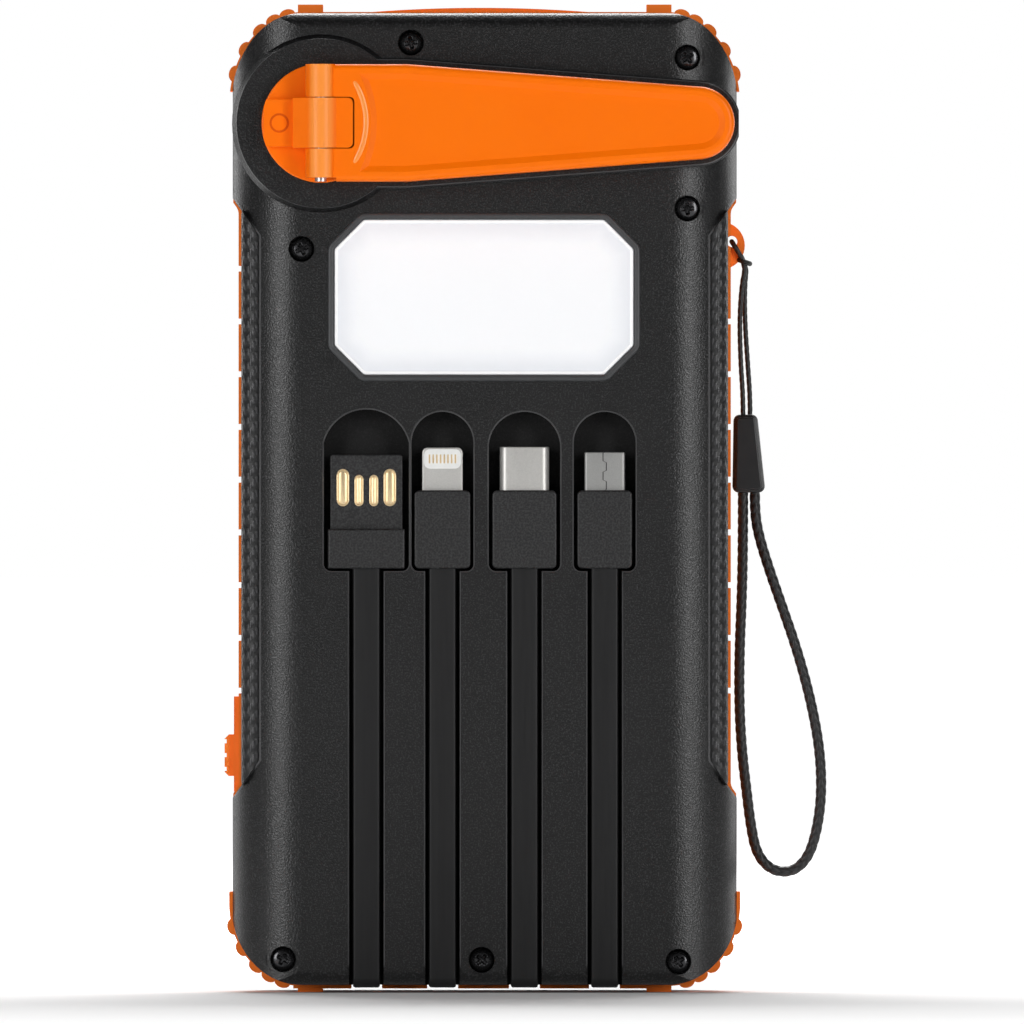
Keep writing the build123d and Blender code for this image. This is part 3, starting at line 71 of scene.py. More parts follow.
class Wire:
    """An output of a material's nodes. Sums, products and comparisons on it add Math nodes."""

    def __init__(self, pot, socket):
        self.pot = pot
        self.socket = socket

    def maths(self, operation, *others, swap=False):
        """One Math node on this output and up to two other values or outputs."""
        values = [self, *others]
        if swap:
            values.reverse()
        return self.pot.add("Math", {"operation": operation}, dict(enumerate(values)))

    def __add__(self, other):
        return self.maths("ADD", other)

    def __sub__(self, other):
        return self.maths("SUBTRACT", other)

    def __rsub__(self, other):
        return self.maths("SUBTRACT", other, swap=True)

    def __mul__(self, other):
        return self.maths("MULTIPLY", other)

    def __truediv__(self, other):
        return self.maths("DIVIDE", other)

    __radd__ = __add__
    __rmul__ = __mul__

    def least(self, other):
        """The smaller of the two."""
        return self.maths("MINIMUM", other)

    def most(self, other):
        """The larger of the two."""
        return self.maths("MAXIMUM", other)

    def sine(self):
        """The sine of an angle in radians."""
        return self.maths("SINE")

    def size(self):
        """The value without its sign."""
        return self.maths("ABSOLUTE")

    def part(self):
        """What is left after the whole number."""
        return self.maths("FRACT")

    def step(self, low, high):
        """0 below low, 1 above high, and a smooth rise between them."""
        bounds = {"Value": self, "From Min": low, "From Max": high}
        return self.pot.add("MapRange", {"interpolation_type": "SMOOTHSTEP"}, bounds)

    def line(self, place, half_width):
        """1 on a line across the value at a place, fading to 0 in the outer half of its half width."""
        return 1.0 - (self - place).size().step(0.5 * half_width, half_width)


class Pot:
    """A material and its nodes."""

    def __init__(self, name):
        self.material = bpy.data.materials.new(name)
        self.material.use_nodes = True
        self.tree = self.material.node_tree
        self.tree.nodes.clear()

    def add(self, kind, settings=None, inputs=None, out=0):
        """Adds one node: its type, its settings, then the values or links of its sockets."""
        node = self.tree.nodes.new("ShaderNode" + kind)
        for key, value in (settings or {}).items():
            setattr(node, key, value)
        for key, value in (inputs or {}).items():
            if isinstance(value, Wire):
                self.tree.links.new(value.socket, node.inputs[key])
            else:
                node.inputs[key].default_value = value
        return Wire(self, node.outputs[out]) if len(node.outputs) > out else None

    def place(self, axis):
        """One of the object coordinates, in millimetres."""
        whole = self.add("TexCoord", out=3)
        return self.add("SeparateXYZ", {}, {0: whole}, out="XYZ".index(axis)) / MM

    def noise(self, grain, detail=2.0, stretch=(1.0, 1.0, 1.0)):
        """Noise from 0 to 1 whose blotches are about grain millimetres across."""
        where = self.add("Mapping", {}, {"Vector": self.add("TexCoord", out=3), "Scale": stretch})
        return self.add("TexNoise", {}, {"Vector": where, "Scale": 1.0 / (grain * MM), "Detail": detail})

    def lift(self):
        """The height from 0 to 1 that a mesh keeps at each of its points."""
        return self.add("Attribute", {"attribute_name": "lift"}, out=2)

    def blend(self, factor, first, second):
        """A colour between two colours."""
        tints = [(*tint, 1.0) if isinstance(tint, tuple) else tint for tint in (first, second)]
        return self.add("Mix", {"data_type": "RGBA"}, {0: factor, 6: tints[0], 7: tints[1]}, out=2)

    def bump(self, height, depth):
        """A normal that raises the surface by depth millimetres where height is 1."""
        return self.add("Bump", {}, {"Strength": 1.0, "Distance": depth * MM, "Height": height})

    def finish(self, **sockets):
        """The Principled surface; its sockets are written with underscores for spaces."""
        inputs = {key.replace("_", " "): value for key, value in sockets.items()}
        if isinstance(inputs["Base Color"], tuple):
            inputs["Base Color"] = (*inputs["Base Color"], 1.0)
        surface = self.add("BsdfPrincipled", {}, inputs)
        self.add("OutputMaterial", {}, {"Surface": surface})
        return self.material


def coat(material, *nodes):
    """Gives CAD nodes their finish."""
    for node in nodes:
        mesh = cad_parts[node].data
        mesh.materials.clear()
        mesh.materials.append(material)


# ==== Wrist strap ====
# A thin twisted cord is hitched through the eyelet of the rubber lug, runs into a moulded black
# crimp sleeve, and a round braided nylon loop hangs out of the sleeve's other end.

CASE_SHIFT = 4.45
SLEEVE_TOP, SLEEVE_BOTTOM = 97.4, 84.2
HITCH_ROUTE = [
    (43.6, -0.7, SLEEVE_TOP), (43.6, -0.7, 100.5), (43.2, -0.8, 106.0), (43.0, -0.9, 113.5),
    (43.4, -0.9, 119.4), (44.1, -1.3, 122.6), (41.7, -3.0, 126.6),
    (41.7, 3.0, 126.6), (44.3, 1.3, 122.6), (43.9, 0.9, 119.4),
    (43.9, 0.8, 113.5), (44.4, 0.8, 106.0), (44.8, 0.7, 100.5), (44.8, 0.7, SLEEVE_TOP),
]
LOOP_ROUTE = [
    (43.6, 0.0, SLEEVE_BOTTOM), (43.6, 0.0, 75.5), (43.4, -0.3, 66.5), (43.0, -0.7, 57.5),
    (42.95, -1.0, 48.5), (43.4, -1.0, 40.5), (44.2, -0.7, 33.8), (44.9, -0.2, 28.0),
    (45.9, 0.1, 23.2), (48.4, 0.4, 20.4), (51.9, 0.6, 20.1), (54.6, 0.6, 22.5),
    (56.1, 0.5, 27.2), (56.9, 0.4, 33.4), (56.6, 0.6, 40.8),
    (55.1, 0.8, 49.0), (52.8, 0.8, 57.5), (50.1, 0.6, 65.3), (47.8, 0.3, 71.9),
    (46.2, 0.1, 77.2), (45.6, 0.0, 81.0), (45.6, 0.0, SLEEVE_BOTTOM),
]
HITCH_DIAMETER, LOOP_DIAMETER = 0.85, 1.8
HITCH_SPACING, HITCH_SIDES, LOOP_SPACING, LOOP_SIDES = 0.1, 16, 0.13, 32
HITCH_CORE, HITCH_SWELL, LOOP_CORE, LOOP_SWELL = 0.84, 0.16, 0.86, 0.14
HITCH_LAY = 1.3
BRAID_STRANDS, BRAID_PITCH = 8, 6.4


def in_frame(points):
    """Points of the case, in millimetres about its middle plane, as metres of the frame."""
    return (np.asarray(points, float) + (0.0, CASE_SHIFT, 0.0)) * MM


def laid_line(name, route, spacing):
    """Points at even distances on a cord's line, a NURBS spline whose control points are its route."""
    curve = bpy.data.curves.new(name, "CURVE")
    curve.dimensions = "3D"
    spline = curve.splines.new("NURBS")
    spline.points.add(len(route) - 1)
    for point, place in zip(spline.points, in_frame(route)):
        point.co = (*place, 1.0)
    spline.order_u = 3
    spline.use_endpoint_u = True
    spline.resolution_u = 24
    lead = bpy.data.objects.new(name, curve)
    mesh = bpy.data.meshes.new_from_object(lead)
    flat = np.empty(len(mesh.vertices) * 3)
    mesh.vertices.foreach_get("co", flat)
    bpy.data.objects.remove(lead)
    bpy.data.meshes.remove(mesh)
    points = flat.reshape(-1, 3) / MM - (0.0, CASE_SHIFT, 0.0)
    run = np.concatenate([[0.0], np.cumsum(np.linalg.norm(np.diff(points, axis=0), axis=1))])
    even = np.linspace(0.0, run[-1], int(run[-1] / spacing) + 1)
    return np.stack([np.interp(even, run, points[:, axis]) for axis in range(3)], axis=1), even


def skin(name, grids, finish, body="case", ring=False, sharp=40.0, lift=None):
    """A closed mesh from grids of points, in millimetres of the case. A grid's rows follow the piece and
    its columns go round it. Its ends are closed by fans to their middles, or joined to each other for a
    ring. lift is one height for each point, which the finish can read."""
    points, faces, start = [], [], 0
    for rows in grids if isinstance(grids, list) else [grids]:
        along, across = rows.shape[:2]
        row, column = np.meshgrid(np.arange(along if ring else along - 1), np.arange(across), indexing="ij")
        ahead, beside = (row + 1) % along, (column + 1) % across
        near, far = row * across, ahead * across
        quads = [near + column, near + beside, far + beside, far + column]
        faces += (np.stack(quads, axis=-1).reshape(-1, 4) + start).tolist()
        block = rows.reshape(-1, 3)
        if not ring:
            block = np.vstack([block, rows[0].mean(axis=0), rows[-1].mean(axis=0)])
            rim = np.arange(across)
            first, last = start + rim, start + (along - 1) * across + rim
            middle = np.full(across, start + along * across)
            faces += np.stack([np.roll(first, -1), first, middle], axis=1).tolist()
            faces += np.stack([last, np.roll(last, -1), middle + 1], axis=1).tolist()
        points.append(block)
        start += len(block)
    mesh = bpy.data.meshes.new(name)
    mesh.from_pydata(in_frame(np.vstack(points)).tolist(), [], faces)
    mesh.polygons.foreach_set("use_smooth", np.ones(len(faces), bool))
    mesh.set_sharp_from_angle(angle=math.radians(sharp))
    if lift is not None:
        heights = np.zeros(start)
        heights[: lift.size] = lift.ravel()
        mesh.attributes.new("lift", "FLOAT", "POINT").data.foreach_set("value", heights)
    mesh.materials.append(finish)
    piece = bpy.data.objects.new(name, mesh)
    bpy.context.scene.collection.objects.link(piece)
    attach(piece, body)
    return piece


def cord_rows(line, radius):
    """Rings round a line: line + radius * (cos(angle) * first + sin(angle) * second). The two directions
    across the line are carried along it without twist. radius holds a value for each ring and column."""
    along = np.gradient(line, axis=0)
    along /= np.linalg.norm(along, axis=1, keepdims=True)
    first = np.empty_like(along)
    side = np.cross(along[0], (0.0, 1.0, 0.0))
    for index, direction in enumerate(along):
        side = side - direction * (side @ direction)
        side /= np.linalg.norm(side)
        first[index] = side
    second = np.cross(along, first)
    angle = np.linspace(0.0, 2 * math.pi, radius.shape[1], endpoint=False)[None, :, None]
    outward = np.cos(angle) * first[:, None] + np.sin(angle) * second[:, None]
    return line[:, None] + radius[..., None] * outward


def twisted(run, sides):
    """Height of a cord laid from three strands: the root of |sin(1.5 * angle - pi * run / lay)|."""
    angle = np.linspace(0.0, 2 * math.pi, sides, endpoint=False)
    return np.sqrt(np.abs(np.sin(1.5 * angle[None, :] - math.pi * run[:, None] / HITCH_LAY)))


def braided(run, sides):
    """Height of a round braid of n strands, which wind both ways: a = n / 2 (turn + run / pitch) and
    b = n / 2 (turn - run / pitch). It is |cos(pi a)| ^ 0.7 where sin(pi (a + b)) is above 0, and
    |cos(pi b)| ^ 0.7 elsewhere."""
    turn = np.linspace(0.0, 1.0, sides, endpoint=False)[None, :]
    a = BRAID_STRANDS / 2 * (turn + run[:, None] / BRAID_PITCH)
    b = BRAID_STRANDS / 2 * (turn - run[:, None] / BRAID_PITCH)
    over = np.sin(math.pi * (a + b)) > 0
    return np.where(over, np.abs(np.cos(math.pi * a)), np.abs(np.cos(math.pi * b))) ** 0.7


# The strands' crowns are coloured paler and the hollows between them darker, as painted highlight and
# shade.
pot = Pot("strap_cord")
strap_finish = pot.finish(
    Base_Color=pot.blend(pot.lift().step(0.3, 1.0), (0.002, 0.002, 0.002), (0.012, 0.012, 0.013)),
    Roughness=0.6 - 0.15 * pot.lift(),
    Normal=pot.bump(pot.noise(0.1, 3.0), 0.015),
)

hitch_line, run = laid_line("hitch", HITCH_ROUTE, HITCH_SPACING)
height = twisted(run, HITCH_SIDES)
hitch_rows = cord_rows(hitch_line, HITCH_DIAMETER / 2 * (HITCH_CORE + HITCH_SWELL * height))
hitch = skin("strap_hitch_cord", hitch_rows, strap_finish, sharp=80.0, lift=height)
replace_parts(hitch, "strap_hitch")

# The cord's own bight lies round its two strands below the eyelet.
BIGHT_MIDDLE, BIGHT_HALF, BIGHT_TILT = (43.75, 0.0, 123.2), (1.0, 2.0), 0.35
BIGHT_STEPS, BIGHT_SIDES, BIGHT_RADIUS = 48, 12, HITCH_DIAMETER / 2
turn = np.linspace(0.0, 2 * math.pi, BIGHT_STEPS, endpoint=False)
cosine, sine = np.cos(turn), np.sin(turn)
bight = np.stack([BIGHT_HALF[0] * cosine, BIGHT_HALF[1] * sine, -BIGHT_TILT * cosine], axis=1)
outward = np.stack([cosine, sine, np.zeros_like(turn)], axis=1)
angle = np.linspace(0.0, 2 * math.pi, BIGHT_SIDES, endpoint=False)[None, :, None]
sunk = BIGHT_RADIUS * np.sin(angle) * (0.0, 0.0, -1.0)
reach = BIGHT_RADIUS * np.cos(angle) * outward[:, None] + sunk
bight_rows = BIGHT_MIDDLE + bight[:, None] + reach
knot = skin("strap_hitch_bight", bight_rows, strap_finish, ring=True)

loop_line, run = laid_line("loop", LOOP_ROUTE, LOOP_SPACING)
height = braided(run, LOOP_SIDES)
loop_rows = cord_rows(loop_line, LOOP_DIAMETER / 2 * (LOOP_CORE + LOOP_SWELL * height))
loop = skin("strap_braided_loop", loop_rows, strap_finish, sharp=80.0, lift=height)
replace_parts(loop, "strap_loop")

LEAST_CORNER, CORNER_STEPS = 0.02, 7
RIM_STEPS, CLOSING_INSET = 5, 0.06


def outline(walls, radius, inset):
    """Points round a convex outline at an inset. Its walls are (direction in degrees, distance from the
    middle). Each corner is an arc, centre + reach * (cos t, sin t), about where its two walls cross when
    they are moved in by the inset and the reach."""
    reach = max(radius - inset, LEAST_CORNER)
    arcs = []
    for (start, near), (end, far) in zip(walls, walls[1:] + walls[:1]):
        a = math.radians(start)
        b = math.radians(end if end > start else end + 360)
        near, far = near - inset - reach, far - inset - reach
        x = (near * math.sin(b) - far * math.sin(a)) / math.sin(b - a)
        y = (far * math.cos(a) - near * math.cos(b)) / math.sin(b - a)
        t = np.linspace(a, b, CORNER_STEPS)
        arcs.append(np.stack([x + reach * np.cos(t), y + reach * np.sin(t)], axis=1))
    return np.concatenate(arcs)


def stack(facing, middle, walls, radius, profile):
    """Rows of a block: its outline at each (inset, height) of the profile. Facing front, the outline lies
    in x and z and the height is -y; facing side, it lies in y and z and the height is x; facing top, it
    lies in x and y and the height is z."""
    rows = []
    for inset, height in profile:
        flat = outline(walls, radius, inset) + middle
        rows.append(np.column_stack([flat, np.full(len(flat), height)]))
    rows = np.array(rows)
    if facing == "front":
        return rows[..., [0, 2, 1]] * (1.0, -1.0, 1.0)
    return rows[..., [2, 0, 1]] if facing == "side" else rows


def eased(low, high, edge):
    """Profile of a block from low to high with quarter-round rims: inset = edge (1 - sin t), and the
    height lies edge (1 - cos t) in from its end."""
    t = np.linspace(0.0, math.pi / 2, RIM_STEPS)
    inset, rise = edge * (1 - np.sin(t)), edge * (1 - np.cos(t))
    closing = edge + CLOSING_INSET
    start = [(closing, low), *zip(inset, low + rise)]
    end = [*zip(inset[::-1], high - rise[::-1]), (closing, high)]
    return start + end


def four_walls(half_width, half_height):
    """The walls of a rectangle."""
    return [(0, half_width), (90, half_height), (180, half_width), (270, half_height)]


pot = Pot("strap_crimp")
sleeve_finish = pot.finish(
    Base_Color=pot.blend(pot.noise(2.0), (0.007, 0.007, 0.008), (0.014, 0.014, 0.015)),
    Roughness=0.34 + 0.12 * pot.noise(0.8),
    Normal=pot.bump(pot.noise(0.3), 0.008),
)
SLEEVE_WALLS = [(6.05, 2.29), (90, 6.6), (179.1, 2.5), (270, 6.6)]
SLEEVE_X, SLEEVE_HALF_DEPTH, SLEEVE_CORNER = 44.4, 1.7, 1.1
half = SLEEVE_HALF_DEPTH
profile = [
    (0.7, -half), (0.55, 0.1 - half), (0.5, 0.6 - half), (0.1, 0.75 - half), (0.0, 1.0 - half),
    (0.0, half - 1.0), (0.1, half - 0.75), (0.5, half - 0.6), (0.55, half - 0.1), (0.7, half), (0.8, half),
]
middle = (SLEEVE_X, (SLEEVE_TOP + SLEEVE_BOTTOM) / 2)
sleeve_rows = stack("front", middle, SLEEVE_WALLS, SLEEVE_CORNER, profile)
sleeve = skin("strap_crimp_sleeve", sleeve_rows, sleeve_finish)
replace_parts(sleeve, "strap_sleeve")

# ==== Covers ====
# Two covers of black ABS, moulded with a fine spark texture whose peaks are coloured paler. The
# crank-side one has the plinth, the lamp window and the leads' pockets. The photo's light is painted
# on as colour: paler lines at the mouths of the pockets, waist and plinth, and darker pocket floors.

SPARK_GRAIN, SPARK_DEPTH, GLINT_LOW, GLINT_HIGH = 0.28, 0.07, 0.5, 0.68
LEADS_REACH, LEADS_TOP, LEADS_FADE = 28.0, 100.0, 0.5
MOUTH_Y, MOUTH_WIDTH, MOUTH_START, MOUTH_FULL = -9.87, 0.15, 4.0, 5.0
PLINTH_RIM_Y, PLINTH_RIM_WIDTH = -11.41, 0.12
SHADE_START, SHADE_FULL, SHADE_FADE, SHADE_END = -8.5, -6.0, 0.0, 2.0
WAIST, WAIST_TOP, WAIST_BOTTOM, WAIST_SLOPE = 38.0, 127.5, 39.1, 1.41
WAIST_RIM, WAIST_RIM_WIDTH = 0.2, 0.2

pot = Pot("black_shell")
spark = pot.noise(SPARK_GRAIN, 1.0)
# The spark's peaks are coloured paler as painted glints, and are made a little glossier too.
glint = spark.step(GLINT_LOW, GLINT_HIGH)
across, depth, up = pot.place("X").size(), pot.place("Y"), pot.place("Z")
inside_x = 1.0 - across.step(LEADS_REACH - LEADS_FADE, LEADS_REACH)
inside_z = 1.0 - up.step(LEADS_TOP - LEADS_FADE, LEADS_TOP)
by_leads = inside_x * inside_z
deep = depth.step(SHADE_START, SHADE_FULL) * (1.0 - depth.step(SHADE_FADE, SHADE_END)) * by_leads
over, under = (up - WAIST_TOP) / WAIST_SLOPE, (WAIST_BOTTOM - up) / WAIST_SLOPE
from_waist = over.most(under).most(0.0) + WAIST - across
mouth = depth.line(MOUTH_Y, MOUTH_WIDTH) * by_leads * up.step(MOUTH_START, MOUTH_FULL)
plinth_rim = depth.line(PLINTH_RIM_Y, PLINTH_RIM_WIDTH)
lines = mouth.most(from_waist.line(WAIST_RIM, WAIST_RIM_WIDTH)).most(plinth_rim)
plain = pot.blend(glint, (0.0012, 0.0012, 0.0014), (0.024, 0.024, 0.025))
lined = pot.blend(lines, plain, (0.065, 0.065, 0.067))
shell_finish = pot.finish(
    Base_Color=pot.blend(deep, lined, (0.0006, 0.0006, 0.0007)),
    Roughness=0.34 - 0.08 * glint + 0.04 * pot.noise(6.0) + 0.5 * deep,
    Specular_IOR_Level=0.5,
    Normal=pot.bump(spark, SPARK_DEPTH),
)
coat(shell_finish, "crank_cover", "panel_cover")

# ==== Bumper ====
# One soft orange rubber band runs round the edge between the covers, cut into blocks along the
# sides, with nubs at the corners, a lug for the strap, the flap over the sockets and the button.

pot = Pot("bumper_rubber")
wear = pot.noise(9.0, 3.0)
bumper_finish = pot.finish(
    Base_Color=pot.blend(wear, (0.9, 0.17, 0.008), (1.0, 0.21, 0.012)),
    Roughness=0.5 + 0.1 * pot.noise(1.5),
    Specular_IOR_Level=0.35,
    Normal=pot.bump(pot.noise(0.35, 3.0), 0.012),
)
coat(bumper_finish, "bumper_band", "port_cover", "power_button")

# ==== Grips ====
# Four strips of hard rubber lie in the waist, moulded with the relief of a carbon twill: each thread
# goes over two and under two, one step further along in each row. Their edges follow the case's.

THREAD, RELIEF = 0.58, 0.09
WARP_BASE, WARP_SWELL, WEFT_SHARE, WEFT_CROWN = 0.35, 0.65, 0.3, 0.55
WAIST_RADIUS, ROUNDING_FALL = 2.5, 1.2
GRIP_REACH, GRIP_FRONT, GRIP_BACK, GRIP_RADIUS = 41.0, 11.8, 5.0, 2.4
GRIP_COLUMNS, GRIP_ROWS, BORDER_RATE, BORDER_WIDTH = 62, 520, 120.0, 0.3


def twill(s, z):
    """Height from 0 to 1 of a twill, with a = s / thread and b = z / thread. The warp lies on top where
    (floor(a) + floor(b)) mod 4 < 2, base + swell |sin(pi a)|. Elsewhere share * crown |sin(pi b)|."""
    a, b = s / THREAD, z / THREAD
    warp = np.mod(np.floor(a) + np.floor(b), 4) < 2
    on_top = WARP_BASE + WARP_SWELL * np.abs(np.sin(math.pi * a))
    return np.where(warp, on_top, WEFT_SHARE * (np.abs(np.sin(math.pi * b)) * WEFT_CROWN))


def grip_rows(side, facing):
    """Rows of a grip along z. The section runs across its front, round its corner and down its side; its
    ends slope with x, z = top + slope * (x - waist), less a rounded corner of the waist's radius."""
    corner = 0.5 * math.pi * GRIP_RADIUS
    flat = GRIP_REACH - GRIP_RADIUS - WAIST
    length = flat + corner + GRIP_FRONT - GRIP_RADIUS - GRIP_BACK
    s = np.linspace(0.0, length, GRIP_COLUMNS)
    turn = np.clip((s - flat) / GRIP_RADIUS, 0.0, math.pi / 2)
    x = WAIST + np.minimum(s, flat) + GRIP_RADIUS * np.sin(turn)
    y = -GRIP_FRONT + GRIP_RADIUS * (1 - np.cos(turn)) + np.maximum(s - flat - corner, 0.0)
    rounding = WAIST_RADIUS * math.tan(0.5 * math.atan(1 / WAIST_SLOPE))
    pulled = np.maximum(rounding - (x - WAIST) * ROUNDING_FALL, 0.0) ** 2 / (2 * WAIST_RADIUS)
    top = WAIST_TOP + WAIST_SLOPE * (x - WAIST) - pulled
    bottom = WAIST_BOTTOM - WAIST_SLOPE * (x - WAIST) + pulled
    share = np.linspace(0.0, 1.0, GRIP_ROWS)[:, None]
    z = bottom + share * (top - bottom)
    height = twill(s[None, :], z)
    from_ends = np.minimum(share, 1 - share) * BORDER_RATE
    from_sides = np.minimum(s, length - s) / BORDER_WIDTH
    height = height * np.clip(np.minimum(from_ends, from_sides), 0.0, 1.0)
    sunk = RELIEF * (height - 1)
    rows = np.empty((*z.shape, 3))
    rows[..., 0] = x + sunk * np.sin(turn)
    rows[..., 1] = y - sunk * np.cos(turn)
    rows[..., 2] = z
    back = rows[:, -1:] * (0.0, 1.0, 1.0) + (WAIST, 0.0, 0.0)
    rows = np.concatenate([rows, back], axis=1) * (side, facing, 1.0)
    height = np.concatenate([height, 0 * height[:, :1]], axis=1)
    return (rows, height) if side * facing > 0 else (rows[:, ::-1], height[:, ::-1])


# The raised threads are coloured paler and the low ones and the borders darker, as a painted sheen on the
# twill.
pot = Pot("grip_twill")
twill_finish = pot.finish(
    Base_Color=pot.blend(pot.lift().step(0.3, 0.8), (0.003, 0.003, 0.0035), (0.02, 0.02, 0.022)),
    Roughness=0.48 - 0.14 * pot.lift(),
    Normal=pot.bump(pot.noise(0.12), 0.01),
)
for node, side, facing in (("crank_grip_left", -1, 1), ("crank_grip_right", 1, 1),
                           ("panel_grip_left", -1, -1), ("panel_grip_right", 1, -1)):
    rows, height = grip_rows(side, facing)
    grip = skin(node + "_twill", rows, twill_finish, sharp=60.0, lift=height)
    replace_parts(grip, node)

# ==== Crank ====
# The hub disc, the folding arm and the flip-out knob are one satin orange plastic. The arm's knuckles
# turn on a ground steel pin through the hub's middle knuckle, and the knob on another. The photo's
# highlight on the knuckles' tops and the rib is painted on as a paler colour.

GATE_X, GATE_Z, GATE_RADIUS, GATE_WIDTH = -34.5, 146.3, 1.45, 0.24
PROUD_Y, ARM_FACE = -18.6, -17.9

pot = Pot("crank_orange")
flow = pot.noise(14.0, 3.0)
aside, above = pot.place("X") - GATE_X, pot.place("Z") - GATE_Z
# A thin darker ring round the hub's gate mark is painted shade.
painted_gate_shade = (aside * aside + above * above).maths("SQRT").line(GATE_RADIUS, GATE_WIDTH)
proud = 1.0 - pot.place("Y").step(PROUD_Y, ARM_FACE)
moulded = pot.blend(flow, (0.98, 0.162, 0.0), (1.0, 0.188, 0.001))
crank_finish = pot.finish(
    Base_Color=pot.blend(painted_gate_shade, pot.blend(proud, moulded, (1.0, 0.3, 0.045)), (0.72, 0.09, 0.0)),
    Roughness=0.3 + 0.08 * pot.noise(1.5),
    Specular_IOR_Level=0.2,
    Normal=pot.bump(pot.noise(0.7, 2.0), 0.005),
)
coat(crank_finish, "crank_hub", "crank_arm", "crank_knob")

# A rounded rib is moulded across the arm's root, just before the dished face. It stands only 0.12 mm
# proud, because a higher one meets the hub's raised mark when the arm is folded out.
RIB_X, RIB_Z, RIB_BEND, RIB_REACH = -19.9, 146.4, 12.6, 0.6
RIB_RADIUS, RIB_Y = 0.9, -21.52
RIB_THINNING, RIB_TAPER, RIB_STEPS, RIB_SIDES = 0.2, 12, 48, 20
angle = np.linspace(-RIB_REACH, RIB_REACH, RIB_STEPS)
rib_x = RIB_X + RIB_BEND * (np.cos(angle) - 1)
rib_line = np.stack([rib_x, 0 * angle + RIB_Y, RIB_Z + RIB_BEND * np.sin(angle)], axis=1)
thinner = 1 - RIB_THINNING * (angle / RIB_REACH) ** RIB_TAPER
rib_rows = cord_rows(rib_line, RIB_RADIUS * thinner[:, None] * np.ones(RIB_SIDES))
pot = Pot("crank_rib")
rib_finish = pot.finish(
    Base_Color=pot.blend(pot.noise(4.0), (1.0, 0.27, 0.035), (1.0, 0.34, 0.07)),
    Roughness=0.25 + 0.08 * pot.noise(1.5),
    Normal=pot.bump(pot.noise(0.7, 2.0), 0.005),
)
skin("crank_arm_rib", rib_rows, rib_finish, body="arm")

pot = Pot("ground_steel")
steel_finish = pot.finish(
    Base_Color=(0.62, 0.62, 0.63),
    Metallic=1.0,
    Roughness=0.26 + 0.18 * pot.noise(0.5, 3.0, (1.0, 1.0, 0.1)),
)
coat(steel_finish, "fold_pin", "knob_pin", "crank_shaft", "lay_axle")

# ==== Cover screws ====
# Seven black pan-head screws, each deep in its counterbore; the cross recess narrows downwards, and
# the oiled finish throws sharp glints off its flanks. Their shanks stay hidden in the bosses.

SCREW_PLACES = [
    (-12.4, 159.9), (34.1, 157.4), (34.1, 132.0), (-30.8, 125.2), (-33.9, 5.7), (-0.5, 5.6), (32.6, 5.3),
]
HEAD_RADIUS, HEAD_SEAT, HEAD_TOP, HEAD_CROWN = 2.0, 11.5, 13.0, 0.75
HEAD_RINGS, HEAD_SIDES = 46, 112
RECESS_DEPTH, RECESS_REACH, RECESS_HALF = 0.9, 1.15, 0.3
RECESS_FOOT, RECESS_LIP, RECESS_END = 0.5, 1.3, 0.6
SHANK_RADIUS, SHANK_END = 1.15, -5.5


def smooth(value, low, high):
    """0 below low, 1 above high, and 3 t^2 - 2 t^3 between them."""
    t = np.clip((value - low) / (high - low), 0.0, 1.0)
    return t * t * (3 - 2 * t)


def screw_rows(x, z, turned):
    """Rings of a screw from its shank's end to its head's middle. The head's height falls from its top as
    crown (1 - sqrt(1 - (r / R)^2)), and where either arm of the cross lies it sinks by the recess."""
    dome = HEAD_RADIUS * np.linspace(1.0, 0.02, HEAD_RINGS)
    r = np.concatenate([[SHANK_RADIUS, SHANK_RADIUS, HEAD_RADIUS], dome])
    angle = np.linspace(0.0, 2 * math.pi, HEAD_SIDES, endpoint=False)
    u, v = r[:, None] * np.cos(angle), r[:, None] * np.sin(angle)
    crown = HEAD_TOP - HEAD_CROWN * (1 - np.sqrt(1 - np.minimum(r / HEAD_RADIUS, 0.995)[:, None] ** 2))
    across = 1 - smooth(np.abs(v), RECESS_FOOT * RECESS_HALF, RECESS_LIP * RECESS_HALF)
    upright = 1 - smooth(np.abs(u), RECESS_FOOT * RECESS_HALF, RECESS_LIP * RECESS_HALF)
    reach_u = 1 - smooth(np.abs(u), RECESS_END * RECESS_REACH, RECESS_REACH)
    reach_v = 1 - smooth(np.abs(v), RECESS_END * RECESS_REACH, RECESS_REACH)
    height = crown - RECESS_DEPTH * np.maximum(across * reach_u, upright * reach_v)
    height[:3] = np.array([SHANK_END, HEAD_SEAT, HEAD_SEAT])[:, None]
    c, s = math.cos(turned), math.sin(turned)
    return np.stack([x + c * u - s * v, -height, z + s * u + c * v], axis=-1)


pot = Pot("screw_black")
screw_finish = pot.finish(
    Base_Color=(0.045, 0.045, 0.048),
    Metallic=0.85,
    Roughness=0.2 + 0.12 * pot.noise(0.6, 3.0),
    Coat_Weight=0.4,
    Coat_Roughness=0.12,
)
TURNS = np.radians([12.0, 38.0, 4.0, 25.0, 61.0, 47.0, 33.0])
screws = [screw_rows(x, z, turned) for (x, z), turned in zip(SCREW_PLACES, TURNS)]
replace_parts(skin("pan_head_screws", screws, screw_finish, sharp=50.0), "cover_screws")

# ==== Lamp ====
# A frosted acrylic sheet with a rounded rim, in a grained dark frame with cut corners. The board of
# chips lies close behind it. The sheet glows faintly, and the photo's light is painted on as colour:
# greyer towards its edges, with a white line along its rim.


def case_box(node):
    """(lowest corner, highest corner) of a CAD node, in millimetres of the case."""
    return [np.array(corner) / MM - (0.0, CASE_SHIFT, 0.0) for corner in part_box(node)]


